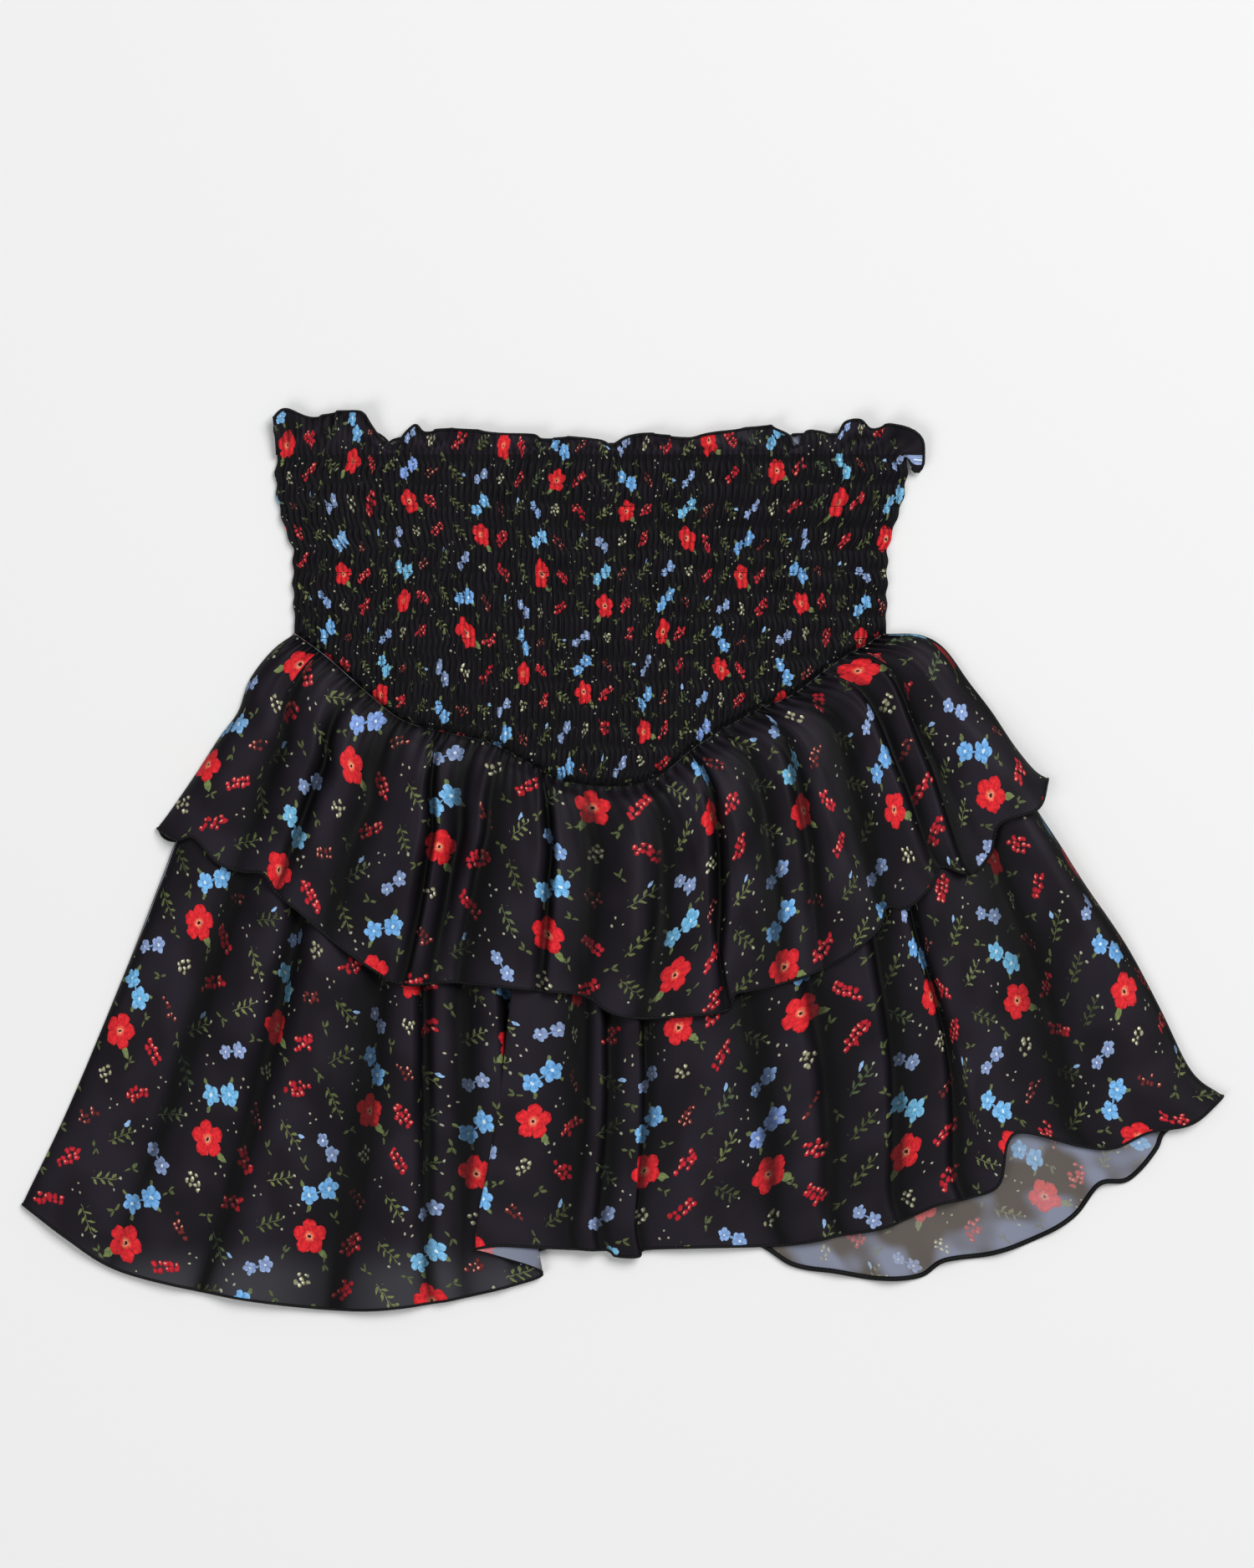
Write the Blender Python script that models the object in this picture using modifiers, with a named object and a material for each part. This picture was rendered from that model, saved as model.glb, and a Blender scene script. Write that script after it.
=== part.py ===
# Ruffle skirt laid flat on its back: smocked basque yoke with a frilled heading,
# a short gathered flounce, and a longer gathered tier under it.
# X runs across the skirt, +Y runs up to the waist, +Z is up off the table.
# Lengths in the tables are millimetres, measured from the middle of the laid-out skirt.

import math

import bmesh
import bpy
import numpy as np

MM = 0.001

# driving dimensions, in millimetres
WALL = 1.1
BACK_WALL = 1.2
SEAM_GAP = 0.5
LAYER_GAP = 0.3
YOKE_TOP = 180.0
ELASTIC_PITCH = 9.8
PUCKERS = 60
PUCKER_RELIEF = 1.9
PUCKER_FLOOR = 1.1
SIDE_SCALLOP = 0.8
HEADING_WAVES = 22
HEADING_LIFT = 6.0
HEADING_FULL_HEIGHT = 14.0
BACK_HEADING_LIFT = 1.3
GATHER_RELIEF = 0.7
GATHER_REACH = 0.35
DRAPE_REACH = 8.0
COLUMNS_PER_FOLD = 6

# underside heights of the stack, in millimetres
BACK_SKIRT_STEP = BACK_WALL + LAYER_GAP
FRONT_YOKE_FLOOR = BACK_WALL + LAYER_GAP
FRONT_SKIRT_FLOOR = BACK_SKIRT_STEP + BACK_WALL + LAYER_GAP

# yoke side edges: height up the skirt, left edge, right edge
YOKE_SIDES = [
    # y, left, right
    (180, -154, 127),
    (172, -155, 127),
    (160, -154, 125),
    (148, -151, 121),
    (138, -147, 118),
    (122, -147, 118),
    (101, -146, 117),
]

# yoke seam, a shallow V that dips at the centre front
SEAM = [
    # x, y
    (-146, 101),
    (-131, 90),
    (-113, 74),
    (-97, 62),
    (-74, 56),
    (-58, 52),
    (-41, 43),
    (-28, 36),
    (-4, 33),
    (15, 37),
    (33, 51),
    (58, 66),
    (76, 74),
    (95, 88),
    (117, 101),
]

# long tier, front hem from the left tip to the right tip
SKIRT_HEM = [
    # x, y
    (-267, -153),
    (-247, -168),
    (-227, -181),
    (-199, -189),
    (-162, -196),
    (-119, -200),
    (-86, -197),
    (-61, -192),
    (-41, -187),
    (-36, -181),
    (-33, -174),
    (-13, -173),
    (8, -175),
    (32, -172),
    (73, -171),
    (95, -167),
    (117, -163),
    (140, -153),
    (154, -150),
    (166, -144),
    (172, -128),
    (182, -122),
    (203, -127),
    (218, -128),
    (234, -121),
    (253, -117),
    (267, -105),
]

# long tier, back hem, which shows under the front at the lower right
BACK_SKIRT_HEM = [
    # x, y
    (-267, -153),
    (-225, -173),
    (-180, -181),
    (-128, -185),
    (-69, -181),
    (-17, -169),
    (50, -168),
    (76, -180),
    (95, -183),
    (113, -186),
    (132, -185),
    (143, -178),
    (164, -175),
    (184, -168),
    (201, -158),
    (212, -144),
    (225, -142),
    (237, -129),
    (267, -105),
]

# side edges of the long tier, from the seam to the hem
SKIRT_LEFT = [
    # x, y
    (-146, 101),
    (-166, 66),
    (-195, 16),
    (-205, -8),
    (-221, -49),
    (-246, -109),
    (-267, -153),
]
SKIRT_RIGHT = [
    # x, y
    (117, 101),
    (140, 70),
    (167, 46),
    (191, 12),
    (205, -10),
    (224, -38),
    (239, -66),
    (253, -94),
    (267, -105),
]

# short flounce, front hem
FLOUNCE_HEM = [
    # x, y
    (-207, 14),
    (-198, 9),
    (-190, 10),
    (-180, -1),
    (-159, -6),
    (-154, -14),
    (-128, -36),
    (-110, -49),
    (-97, -55),
    (-76, -54),
    (-35, -58),
    (-17, -60),
    (-6, -67),
    (7, -70),
    (28, -69),
    (47, -65),
    (58, -58),
    (76, -55),
    (95, -45),
    (113, -31),
    (117, -22),
    (126, -21),
    (136, -12),
    (141, -4),
    (154, -6),
    (163, 3),
    (167, 16),
    (184, 23),
    (189, 36),
]

# short flounce, back hem, hidden but for the left tip
BACK_FLOUNCE_HEM = [
    # x, y
    (-207, 14),
    (-203, 9),
    (-188, 5),
    (-154, -19),
    (-110, -45),
    (-54, -53),
    (6, -64),
    (46, -60),
    (95, -42),
    (136, -8),
    (162, 7),
    (184, 25),
    (189, 36),
]

# side edges of the short flounce, from the seam to the hem
FLOUNCE_LEFT = [
    # x, y
    (-146, 101),
    (-156, 93),
    (-166, 80),
    (-171, 66),
    (-179, 55),
    (-190, 38),
    (-201, 22),
    (-207, 14),
]
FLOUNCE_RIGHT = [
    # x, y
    (117, 101),
    (132, 100),
    (143, 94),
    (154, 79),
    (164, 66),
    (174, 51),
    (183, 40),
    (189, 36),
]

# edge of the frilled heading, front and back
HEADING_EDGE = [
    # x, y
    (-154, 194),
    (-148, 200),
    (-137, 197),
    (-125, 199),
    (-114, 197),
    (-108, 188),
    (-101, 185),
    (-94, 192),
    (-85, 189),
    (-68, 191),
    (-35, 187),
    (-17, 188),
    (-4, 184),
    (9, 189),
    (28, 187),
    (42, 190),
    (62, 192),
    (71, 189),
    (76, 184),
    (83, 189),
    (94, 189),
    (103, 196),
    (112, 190),
    (123, 193),
    (130, 190),
    (134, 185),
    (134, 181),
]
BACK_HEADING_EDGE = [
    # x, y
    (-153, 192),
    (-137, 193),
    (-114, 191),
    (-95, 188),
    (-60, 187),
    (-20, 185),
    (20, 185),
    (60, 187),
    (78, 186),
    (95, 188),
    (112, 188),
    (124, 186),
    (128, 181),
]

# Folds of the long tier. Each row is a valley line from the seam to the hem and
# the rounded fold to the right of it: its height at the seam, half way and hem.
SKIRT_FOLDS = [
    # seam x, hem x, seam, middle, hem
    (-146, -267, 0.8, 2.5, 1.5),
    (-128, -220, 1.0, 4.0, 2.5),
    (-106, -175, 1.0, 5.0, 3.0),
    (-90, -128, 1.0, 5.5, 3.5),
    (-76, -84, 1.0, 3.0, 3.0),
    (-54, -68, 1.2, 6.0, 4.5),
    (-34, -47, 1.2, 5.5, 5.0),
    (-18, -22, 1.2, 4.0, 4.0),
    (-8, -9, 1.2, 4.5, 4.5),
    (6, 8, 1.2, 3.5, 2.5),
    (31, 71, 1.2, 5.0, 3.5),
    (52, 96, 1.0, 4.5, 3.5),
    (74, 124, 1.0, 5.0, 4.0),
    (90, 152, 1.0, 5.0, 4.0),
    (104, 206, 0.8, 3.5, 3.0),
]

# Folds of the short flounce, in the same form.
FLOUNCE_FOLDS = [
    # seam x, hem x, seam, middle, hem
    (-146, -207, 0.8, 3.0, 2.0),
    (-134, -180, 1.0, 5.0, 2.5),
    (-118, -156, 1.2, 5.5, 3.5),
    (-101, -131, 1.2, 6.0, 3.5),
    (-82, -97, 1.2, 6.0, 3.5),
    (-66, -85, 1.0, 3.5, 2.5),
    (-52, -72, 1.2, 6.0, 3.0),
    (-34, -36, 1.2, 5.5, 3.0),
    (-16, -17, 1.2, 5.0, 3.5),
    (0, 8, 1.2, 5.5, 3.5),
    (31, 46, 1.2, 6.0, 3.5),
    (46, 72, 1.0, 4.5, 3.0),
    (62, 92, 1.0, 4.5, 3.0),
    (79, 115, 1.0, 5.0, 3.5),
    (94, 143, 0.8, 4.5, 3.0),
    (106, 166, 0.8, 4.0, 2.5),
]

SKIRT_ROWS = [0, 0.06, 0.16, 0.3, 0.45, 0.6, 0.74, 0.87, 1]
FLOUNCE_ROWS = [0, 0.09, 0.22, 0.38, 0.56, 0.78, 1]
BACK_SKIRT_ROWS = [0, 0.27, 0.54, 0.62, 0.75, 0.88, 1]
HEADING_ROWS = [1, 0.7, 0.35, 0]
BACK_SKIRT_COLUMNS = 34
BACK_HEADING_COLUMNS = 36
HEADING_COLUMNS = 4 * HEADING_WAVES
FOLD_ROUNDNESS = 2.2
FOLD_MIDDLE = 0.45
CURVE_STEPS = 8
SEAM_POINTS = 40
SIDE_POINTS = 12
HEM_POINTS = 60

# where the tiers step down past the back flounce, as shares of their depth
BACK_STEP_START = 0.54
BACK_STEP_SPAN = 0.08
FRONT_STEP_START = 0.61
FRONT_STEP_SPAN = 0.13

# a sloping wall is this much thicker, measured straight up
WALL_ON_SLOPE = 1.35
# a smocking row this close to the seam, as a share of a row, is seated on it
SEAT_SHARE = 0.35

NIGHT_NAVY = (0.012, 0.012, 0.019, 1)
INSIDE_GREY = (0.15, 0.13, 0.13, 1)


def clear_scene():
    for item in list(bpy.data.objects):
        bpy.data.objects.remove(item, do_unlink=True)


def make_collection(name):
    collection = bpy.data.collections.new(name)
    bpy.context.scene.collection.children.link(collection)
    return collection


def cloth_material(name, colour, roughness):
    material = bpy.data.materials.new(name)
    material.use_nodes = True
    shader = material.node_tree.nodes["Principled BSDF"]
    shader.inputs["Base Color"].default_value = colour
    shader.inputs["Roughness"].default_value = roughness
    shader.inputs["Metallic"].default_value = 0.0
    return material


def ease(value):
    clipped = np.clip(value, 0.0, 1.0)
    return clipped * clipped * (3.0 - 2.0 * clipped)


class EdgeCurve:
    """A smooth line through the points of a table, walked by its share of length."""

    def __init__(self, table):
        points = np.array(table, dtype=float)
        ends = np.vstack([2 * points[0] - points[1], points, 2 * points[-1] - points[-2]])
        before = ends[:-3]
        start = ends[1:-2]
        stop = ends[2:-1]
        after = ends[3:]
        dense = [points[:1]]
        for step in range(1, CURVE_STEPS + 1):
            u = step / CURVE_STEPS
            blend = 0.5 * (
                2 * start
                + (stop - before) * u
                + (2 * before - 5 * start + 4 * stop - after) * u ** 2
                + (3 * start - before - 3 * stop + after) * u ** 3
            )
            dense.append(blend)
        walk = np.stack(dense[1:], axis=1).reshape(-1, 2)
        self.points = np.vstack([points[:1], walk])
        lengths = np.hypot(*np.diff(self.points, axis=0).T)
        self.share = np.concatenate([[0.0], np.cumsum(lengths)]) / lengths.sum()

    def at(self, share):
        x = np.interp(share, self.share, self.points[:, 0])
        y = np.interp(share, self.share, self.points[:, 1])
        return np.stack([x, y], axis=-1)

    def share_at_x(self, x):
        reached = np.maximum.accumulate(self.points[:, 0])
        return float(np.interp(x, reached, self.share))


class Panel:
    """A cloth panel spread between four edge curves."""

    def __init__(self, top, hem, left, right):
        self.top = EdgeCurve(top)
        self.hem = EdgeCurve(hem)
        self.left = EdgeCurve(left)
        self.right = EdgeCurve(right)

    def place(self, across, down):
        s = across[..., None]
        t = down[..., None]
        corners = (
            (1 - s) * (1 - t) * self.top.at(0.0)
            + s * (1 - t) * self.top.at(1.0)
            + (1 - s) * t * self.hem.at(0.0)
            + s * t * self.hem.at(1.0)
        )
        rows = (1 - t) * self.top.at(across) + t * self.hem.at(across)
        sides = (1 - s) * self.left.at(down) + s * self.right.at(down)
        return rows + sides - corners


def lowered(table, drop):
    return [(x, y - drop) for x, y in table]


def seam_edge(table):
    """Start a side edge one seam gap below the yoke."""
    first = (table[0][0], table[0][1] - SEAM_GAP)
    return [first] + table[1:]


def fold_lines(panel, folds):
    seam_shares = [panel.top.share_at_x(row[0]) for row in folds]
    hem_shares = [panel.hem.share_at_x(row[1]) for row in folds]
    seam_shares[0] = 0.0
    hem_shares[0] = 0.0
    return np.array(seam_shares + [1.0]), np.array(hem_shares + [1.0])


def fold_height(row, down):
    seam_height, middle_height, hem_height = row[2:]
    rise = seam_height + (middle_height - seam_height) * ease(down / FOLD_MIDDLE)
    fall = (hem_height - middle_height) * ease((down - FOLD_MIDDLE) / (1 - FOLD_MIDDLE))
    return rise + fall


def folded_sheet(panel, folds, rows):
    """Points of a gathered panel, one column after another, before it is draped."""
    seam_shares, hem_shares = fold_lines(panel, folds)
    down = np.array(rows, dtype=float)
    lines = seam_shares[:, None] + (hem_shares - seam_shares)[:, None] * down
    columns = []
    for index, row in enumerate(folds):
        crest = fold_height(row, down)
        steps = COLUMNS_PER_FOLD + (1 if index == len(folds) - 1 else 0)
        for step in range(steps):
            q = step / COLUMNS_PER_FOLD
            across = lines[index] + (lines[index + 1] - lines[index]) * q
            flat = panel.place(across, down)
            round_top = 1.0 - abs(2.0 * q - 1.0) ** FOLD_ROUNDNESS
            fade = np.clip(1.0 - down / GATHER_REACH, 0.0, 1.0) ** 2
            gather = GATHER_RELIEF * fade * (1.0 if step % 2 else 0.0)
            height = crest * round_top + gather
            columns.append(np.column_stack([flat, height]))
    return np.array(columns)


def finer(points, column_parts, row_parts):
    """The same surface sampled more closely, by straight steps between its points."""
    columns, rows = points.shape[:2]
    column_spots = np.linspace(0, columns - 1, (columns - 1) * column_parts + 1)
    row_spots = np.linspace(0, rows - 1, (rows - 1) * row_parts + 1)
    c = np.minimum(column_spots.astype(int), columns - 2)
    r = np.minimum(row_spots.astype(int), rows - 2)
    u = (column_spots - c)[:, None, None]
    v = (row_spots - r)[None, :, None]
    near = points[c][:, r] * (1 - v) + points[c][:, r + 1] * v
    far = points[c + 1][:, r] * (1 - v) + points[c + 1][:, r + 1] * v
    return near * (1 - u) + far * u


def draped_over(points, carrier, floor):
    """Height that clears the highest carrier point within reach of each point."""
    carrier_flat = carrier[..., :2].reshape(-1, 2)
    carrier_top = carrier[..., 2].reshape(-1)
    flat = points[..., :2].reshape(-1, 2)
    heights = np.empty(len(flat))
    for index, spot in enumerate(flat):
        near = np.hypot(*(carrier_flat - spot).T) < DRAPE_REACH
        heights[index] = carrier_top[near].max() if near.any() else floor
    return heights.reshape(points.shape[:2])


def lay_grid(name, points, collection, material, thickness):
    """Lay a flat grid on the points of a panel and give it a wall upwards."""
    columns, rows = points.shape[:2]
    mesh = bpy.data.meshes.new(name)
    sheet = bmesh.new()
    bmesh.ops.create_grid(sheet, x_segments=columns - 1, y_segments=rows - 1, size=0.5)
    for vertex in sheet.verts:
        column = round((vertex.co.x + 0.5) * (columns - 1))
        row = round((0.5 - vertex.co.y) * (rows - 1))
        vertex.co = points[column, row] * MM
    sheet.to_mesh(mesh)
    sheet.free()
    piece = bpy.data.objects.new(name, mesh)
    collection.objects.link(piece)
    mesh.materials.append(material)
    wall = piece.modifiers.new("wall", "SOLIDIFY")
    wall.thickness = thickness * MM
    wall.offset = 1.0
    wall.use_even_offset = True
    mesh.shade_smooth()
    return piece


def flat_plate(name, outline, thickness, collection, material):
    """A flat panel that rests on the table, cut to a closed outline."""
    curve = bpy.data.curves.new(name, "CURVE")
    curve.dimensions = "2D"
    curve.fill_mode = "BOTH"
    curve.extrude = 0.5 * thickness * MM
    spline = curve.splines.new("POLY")
    spline.points.add(len(outline) - 1)
    for point, (x, y) in zip(spline.points, outline):
        point.co = (x * MM, y * MM, 0, 1)
    spline.use_cyclic_u = True
    piece = bpy.data.objects.new(name, curve)
    piece.location.z = 0.5 * thickness * MM
    collection.objects.link(piece)
    curve.materials.append(material)
    return piece


def curve_run(table, count):
    return EdgeCurve(table).at(np.linspace(0.0, 1.0, count))


def yoke_side(y, side):
    heights = [row[0] for row in reversed(YOKE_SIDES)]
    edges = [row[1 + side] for row in reversed(YOKE_SIDES)]
    return np.interp(y, heights, edges)


def scallop(y):
    """How far the sides draw in at each elastic row."""
    return SIDE_SCALLOP * (0.5 + 0.5 * math.cos(2 * math.pi * (YOKE_TOP - y) / ELASTIC_PITCH))


def pucker_height(column, row):
    """Outer relief of the smocking: puckers stand up between the elastic rows."""
    crest = 1.0 if column % 2 else 0.0
    between = 1.0 if row % 2 else 0.6
    uneven = 0.85 + 0.15 * math.sin(2.3 * column + 0.4 * row)
    return PUCKER_FLOOR + PUCKER_RELIEF * crest * between * uneven


def smocked_yoke(name, collection, material):
    """Smocked front: puckers raised on the outer face over a plain inside."""
    seam = EdgeCurve(SEAM)
    lowest = seam.points[:, 1].min()
    row_step = ELASTIC_PITCH / 2
    row_count = math.ceil((YOKE_TOP - lowest) / row_step)
    column_count = 2 * PUCKERS
    snap = SEAT_SHARE * row_step
    mesh = bpy.data.meshes.new(name)
    sheet = bmesh.new()
    bmesh.ops.create_grid(sheet, x_segments=column_count, y_segments=row_count, size=0.5)
    for vertex in sheet.verts:
        column = round((vertex.co.x + 0.5) * column_count)
        row = round((0.5 - vertex.co.y) * row_count)
        y = YOKE_TOP - row * row_step
        share = column / column_count
        seam_x = seam.points[0, 0] + (seam.points[-1, 0] - seam.points[0, 0]) * share
        seam_y = float(np.interp(seam_x, seam.points[:, 0], seam.points[:, 1]))
        if y < seam_y + snap:
            x = seam_x
            y = seam_y
        else:
            left = yoke_side(y, 0) + scallop(y)
            right = yoke_side(y, 1) - scallop(y)
            x = left + (right - left) * share
        z = FRONT_YOKE_FLOOR + pucker_height(column, row)
        vertex.co = (x * MM, y * MM, z * MM)
    merge_clamped_rows(sheet)
    close_over_plain_inside(sheet, FRONT_YOKE_FLOOR * MM)
    sheet.to_mesh(mesh)
    sheet.free()
    piece = bpy.data.objects.new(name, mesh)
    collection.objects.link(piece)
    mesh.materials.append(material)
    return piece


def merge_clamped_rows(sheet):
    """Rows that would fall below the seam share one point on it in each column."""
    seats = {}
    targets = {}
    for vertex in sheet.verts:
        key = (round(vertex.co.x, 5), round(vertex.co.y, 5))
        if key in seats:
            targets[vertex] = seats[key]
        else:
            seats[key] = vertex
    bmesh.ops.weld_verts(sheet, targetmap=targets)


def close_over_plain_inside(sheet, floor):
    """Drop a wall from the rim to the inside and close it with one flat face."""
    rim = [edge for edge in sheet.edges if edge.is_boundary]
    wall = bmesh.ops.extrude_edge_only(sheet, edges=rim)["geom"]
    lower = [item for item in wall if isinstance(item, bmesh.types.BMVert)]
    for vertex in lower:
        vertex.co.z = floor
    lower_edges = [edge for edge in sheet.edges if edge.is_boundary]
    bmesh.ops.edgeloop_fill(sheet, edges=lower_edges)
    bmesh.ops.recalc_face_normals(sheet, faces=sheet.faces)


def frilled_heading(name, edge, columns, floor, lift, waves, collection, material):
    """Gathered frill above the first elastic row, flat at its root, wavy at its edge."""
    root_y = YOKE_TOP + SEAM_GAP
    root = [(yoke_side(YOKE_TOP, 0), root_y), (yoke_side(YOKE_TOP, 1), root_y)]
    panel = Panel(root, edge, [root[0], edge[0]], [root[1], edge[-1]])
    up = np.array(HEADING_ROWS)
    sheet = []
    for column in range(columns + 1):
        share = column / columns
        flat = panel.place(np.full(len(up), share), up)
        turn = 2 * math.pi * waves * share
        wave = 0.5 + 0.3 * math.sin(turn) + 0.2 * math.sin(0.37 * turn + 1.0)
        stands = min(1.0, (flat[0, 1] - root_y) / HEADING_FULL_HEIGHT)
        height = floor + lift * stands * wave * up ** 2
        sheet.append(np.column_stack([flat, height]))
    return lay_grid(name, np.array(sheet), collection, material, WALL)


def back_skirt(collection, material):
    """Long tier at the back: over the back flounce, then flat on the table."""
    seam = lowered(SEAM, SEAM_GAP)
    panel = Panel(seam, BACK_SKIRT_HEM, seam_edge(SKIRT_LEFT), seam_edge(SKIRT_RIGHT))
    across = np.linspace(0.0, 1.0, BACK_SKIRT_COLUMNS + 1)
    down = np.array(BACK_SKIRT_ROWS)
    s, t = np.meshgrid(across, down, indexing="ij")
    flat = panel.place(s, t)
    step = BACK_SKIRT_STEP * (1.0 - ease((t - BACK_STEP_START) / BACK_STEP_SPAN))
    points = np.concatenate([flat, step[..., None]], axis=-1)
    return lay_grid("skirt_back", points, collection, material, BACK_WALL)


def front_skirt_points():
    seam = lowered(SEAM, SEAM_GAP)
    panel = Panel(seam, SKIRT_HEM, seam_edge(SKIRT_LEFT), seam_edge(SKIRT_RIGHT))
    points = folded_sheet(panel, SKIRT_FOLDS, SKIRT_ROWS)
    down = np.array(SKIRT_ROWS)
    floor = FRONT_SKIRT_FLOOR - BACK_SKIRT_STEP * ease((down - FRONT_STEP_START) / FRONT_STEP_SPAN)
    points[..., 2] += floor
    return points


def front_flounce_points(skirt):
    seam = lowered(SEAM, SEAM_GAP)
    panel = Panel(seam, FLOUNCE_HEM, seam_edge(FLOUNCE_LEFT), seam_edge(FLOUNCE_RIGHT))
    points = folded_sheet(panel, FLOUNCE_FOLDS, FLOUNCE_ROWS)
    carrier = finer(skirt, 2, 6)
    carrier[..., 2] += WALL_ON_SLOPE * WALL + LAYER_GAP
    points[..., 2] += draped_over(points, carrier, BACK_WALL + LAYER_GAP)
    return points


def tier_outline(left, hem, right):
    """Closed outline of a back tier, from the seam round by the hem."""
    parts = [
        curve_run(lowered(SEAM, SEAM_GAP), SEAM_POINTS)[::-1],
        curve_run(seam_edge(left), SIDE_POINTS)[1:],
        curve_run(hem, HEM_POINTS)[1:],
        curve_run(seam_edge(right), SIDE_POINTS)[::-1][1:-1],
    ]
    return np.vstack(parts)


def yoke_outline():
    """Closed outline of the back yoke, its sides drawn in at the elastic rows."""
    rows = np.arange(YOKE_TOP, YOKE_SIDES[-1][0], -ELASTIC_PITCH / 2)
    left = [(yoke_side(y, 0) + scallop(y), y) for y in rows]
    right = [(yoke_side(y, 1) - scallop(y), y) for y in rows]
    seam = curve_run(SEAM, SEAM_POINTS)
    return np.vstack([left, seam, right[::-1]])


def main():
    clear_scene()
    skirt = make_collection("ruffle_skirt")
    printed = cloth_material("printed_satin", NIGHT_NAVY, 0.55)
    smocked = cloth_material("smocked_satin", NIGHT_NAVY, 0.6)
    inside = cloth_material("satin_wrong_side", INSIDE_GREY, 0.8)

    flat_plate("yoke_back", yoke_outline(), BACK_WALL, skirt, smocked)
    back = tier_outline(FLOUNCE_LEFT, BACK_FLOUNCE_HEM, FLOUNCE_RIGHT)
    flat_plate("flounce_back", back, BACK_WALL, skirt, printed)
    back_skirt(skirt, inside)

    smocked_yoke("yoke_front", skirt, smocked)
    front_skirt = front_skirt_points()
    lay_grid("skirt_front", front_skirt, skirt, printed, WALL)
    flounce = front_flounce_points(front_skirt)
    lay_grid("flounce_front", flounce, skirt, printed, WALL)

    frilled_heading(
        "heading_back", BACK_HEADING_EDGE, BACK_HEADING_COLUMNS, 0.0,
        BACK_HEADING_LIFT, HEADING_WAVES / 2, skirt, printed,
    )
    front_floor = FRONT_YOKE_FLOOR + BACK_HEADING_LIFT + LAYER_GAP
    frilled_heading(
        "heading_front", HEADING_EDGE, HEADING_COLUMNS, front_floor,
        HEADING_LIFT, HEADING_WAVES, skirt, printed,
    )


main()
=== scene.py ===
import math

import bpy
import numpy as np
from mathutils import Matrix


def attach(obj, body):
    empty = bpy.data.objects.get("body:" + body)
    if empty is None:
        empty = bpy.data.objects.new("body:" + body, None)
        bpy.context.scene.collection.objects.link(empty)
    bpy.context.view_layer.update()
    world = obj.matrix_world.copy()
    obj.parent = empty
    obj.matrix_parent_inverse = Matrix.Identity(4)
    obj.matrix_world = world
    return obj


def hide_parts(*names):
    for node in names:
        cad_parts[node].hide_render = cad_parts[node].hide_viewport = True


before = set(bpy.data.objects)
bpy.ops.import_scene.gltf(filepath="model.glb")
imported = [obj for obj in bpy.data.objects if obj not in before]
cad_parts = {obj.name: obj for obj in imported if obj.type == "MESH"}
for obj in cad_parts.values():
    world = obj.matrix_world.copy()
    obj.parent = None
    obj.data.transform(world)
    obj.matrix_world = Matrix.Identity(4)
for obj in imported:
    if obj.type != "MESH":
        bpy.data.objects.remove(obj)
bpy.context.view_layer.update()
print("frame loaded")

# lengths in the tables are millimetres from the middle of the laid-out skirt
mm = 0.001
clothThickness = 0.45
hemRadius = 0.7
hemRaised = -0.2  # a hem at the front lies this much lower than its cloth
threadRadius = 0.2

seamTable = [
    # x, y along the shallow V under the yoke
    (-146, 101), (-131, 90), (-113, 74), (-97, 62), (-74, 56), (-58, 52), (-41, 43),
    (-28, 36), (-4, 33), (15, 37), (33, 51), (58, 66), (76, 74), (95, 88), (117, 101),
]


def ease(value):
    clipped = np.clip(value, 0.0, 1.0)
    return clipped * clipped * (3.0 - 2.0 * clipped)


def softNoise(a, b, seed):
    # a smooth random field from -1 to 1, with one bump a unit
    size = 64
    table = np.random.default_rng(seed).uniform(-1.0, 1.0, (size, size))
    a, b = np.broadcast_arrays(np.asarray(a, float), np.asarray(b, float))
    i = np.floor(a).astype(int)
    j = np.floor(b).astype(int)
    u = ease(a - i)
    v = ease(b - j)
    near = table[i % size, j % size] * (1 - u) + table[(i + 1) % size, j % size] * u
    far = table[i % size, (j + 1) % size] * (1 - u) + table[(i + 1) % size, (j + 1) % size] * u
    return near * (1 - v) + far * v


def smoothLine(table, steps=8):
    # a smooth line through the points of a table, walked by its share of length
    points = np.array(table, dtype=float)
    ends = np.vstack([2 * points[0] - points[1], points, 2 * points[-1] - points[-2]])
    before, start, stop, after = ends[:-3], ends[1:-2], ends[2:-1], ends[3:]
    parts = []
    for step in range(1, steps + 1):
        u = step / steps
        parts.append(0.5 * (
            2 * start + (stop - before) * u
            + (2 * before - 5 * start + 4 * stop - after) * u ** 2
            + (3 * start - before - 3 * stop + after) * u ** 3
        ))
    walk = np.vstack([points[:1], np.stack(parts, axis=1).reshape(-1, points.shape[1])])
    lengths = np.hypot(*np.diff(walk[:, :2], axis=0).T)
    share = np.concatenate([[0.0], np.cumsum(lengths)]) / lengths.sum()
    return {"walk": walk, "share": share, "length": lengths.sum()}


def lineAt(line, share):
    columns = [np.interp(share, line["share"], axis) for axis in line["walk"].T]
    return np.stack(columns, axis=-1)


def shareAtX(line, x):
    reached = np.maximum.accumulate(line["walk"][:, 0])
    return float(np.interp(x, reached, line["share"]))


def sharesGrid(columns, rows):
    # shares across and down for each point of a grid
    return np.meshgrid(np.linspace(0, 1, columns + 1), np.linspace(0, 1, rows + 1), indexing="ij")


def lowered(table, drop):
    return [(row[0], row[1] - drop, *row[2:]) for row in table]


def makePanel(top, hem, left, right):
    return {"top": smoothLine(top), "hem": smoothLine(hem),
            "left": smoothLine(left), "right": smoothLine(right)}


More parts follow.
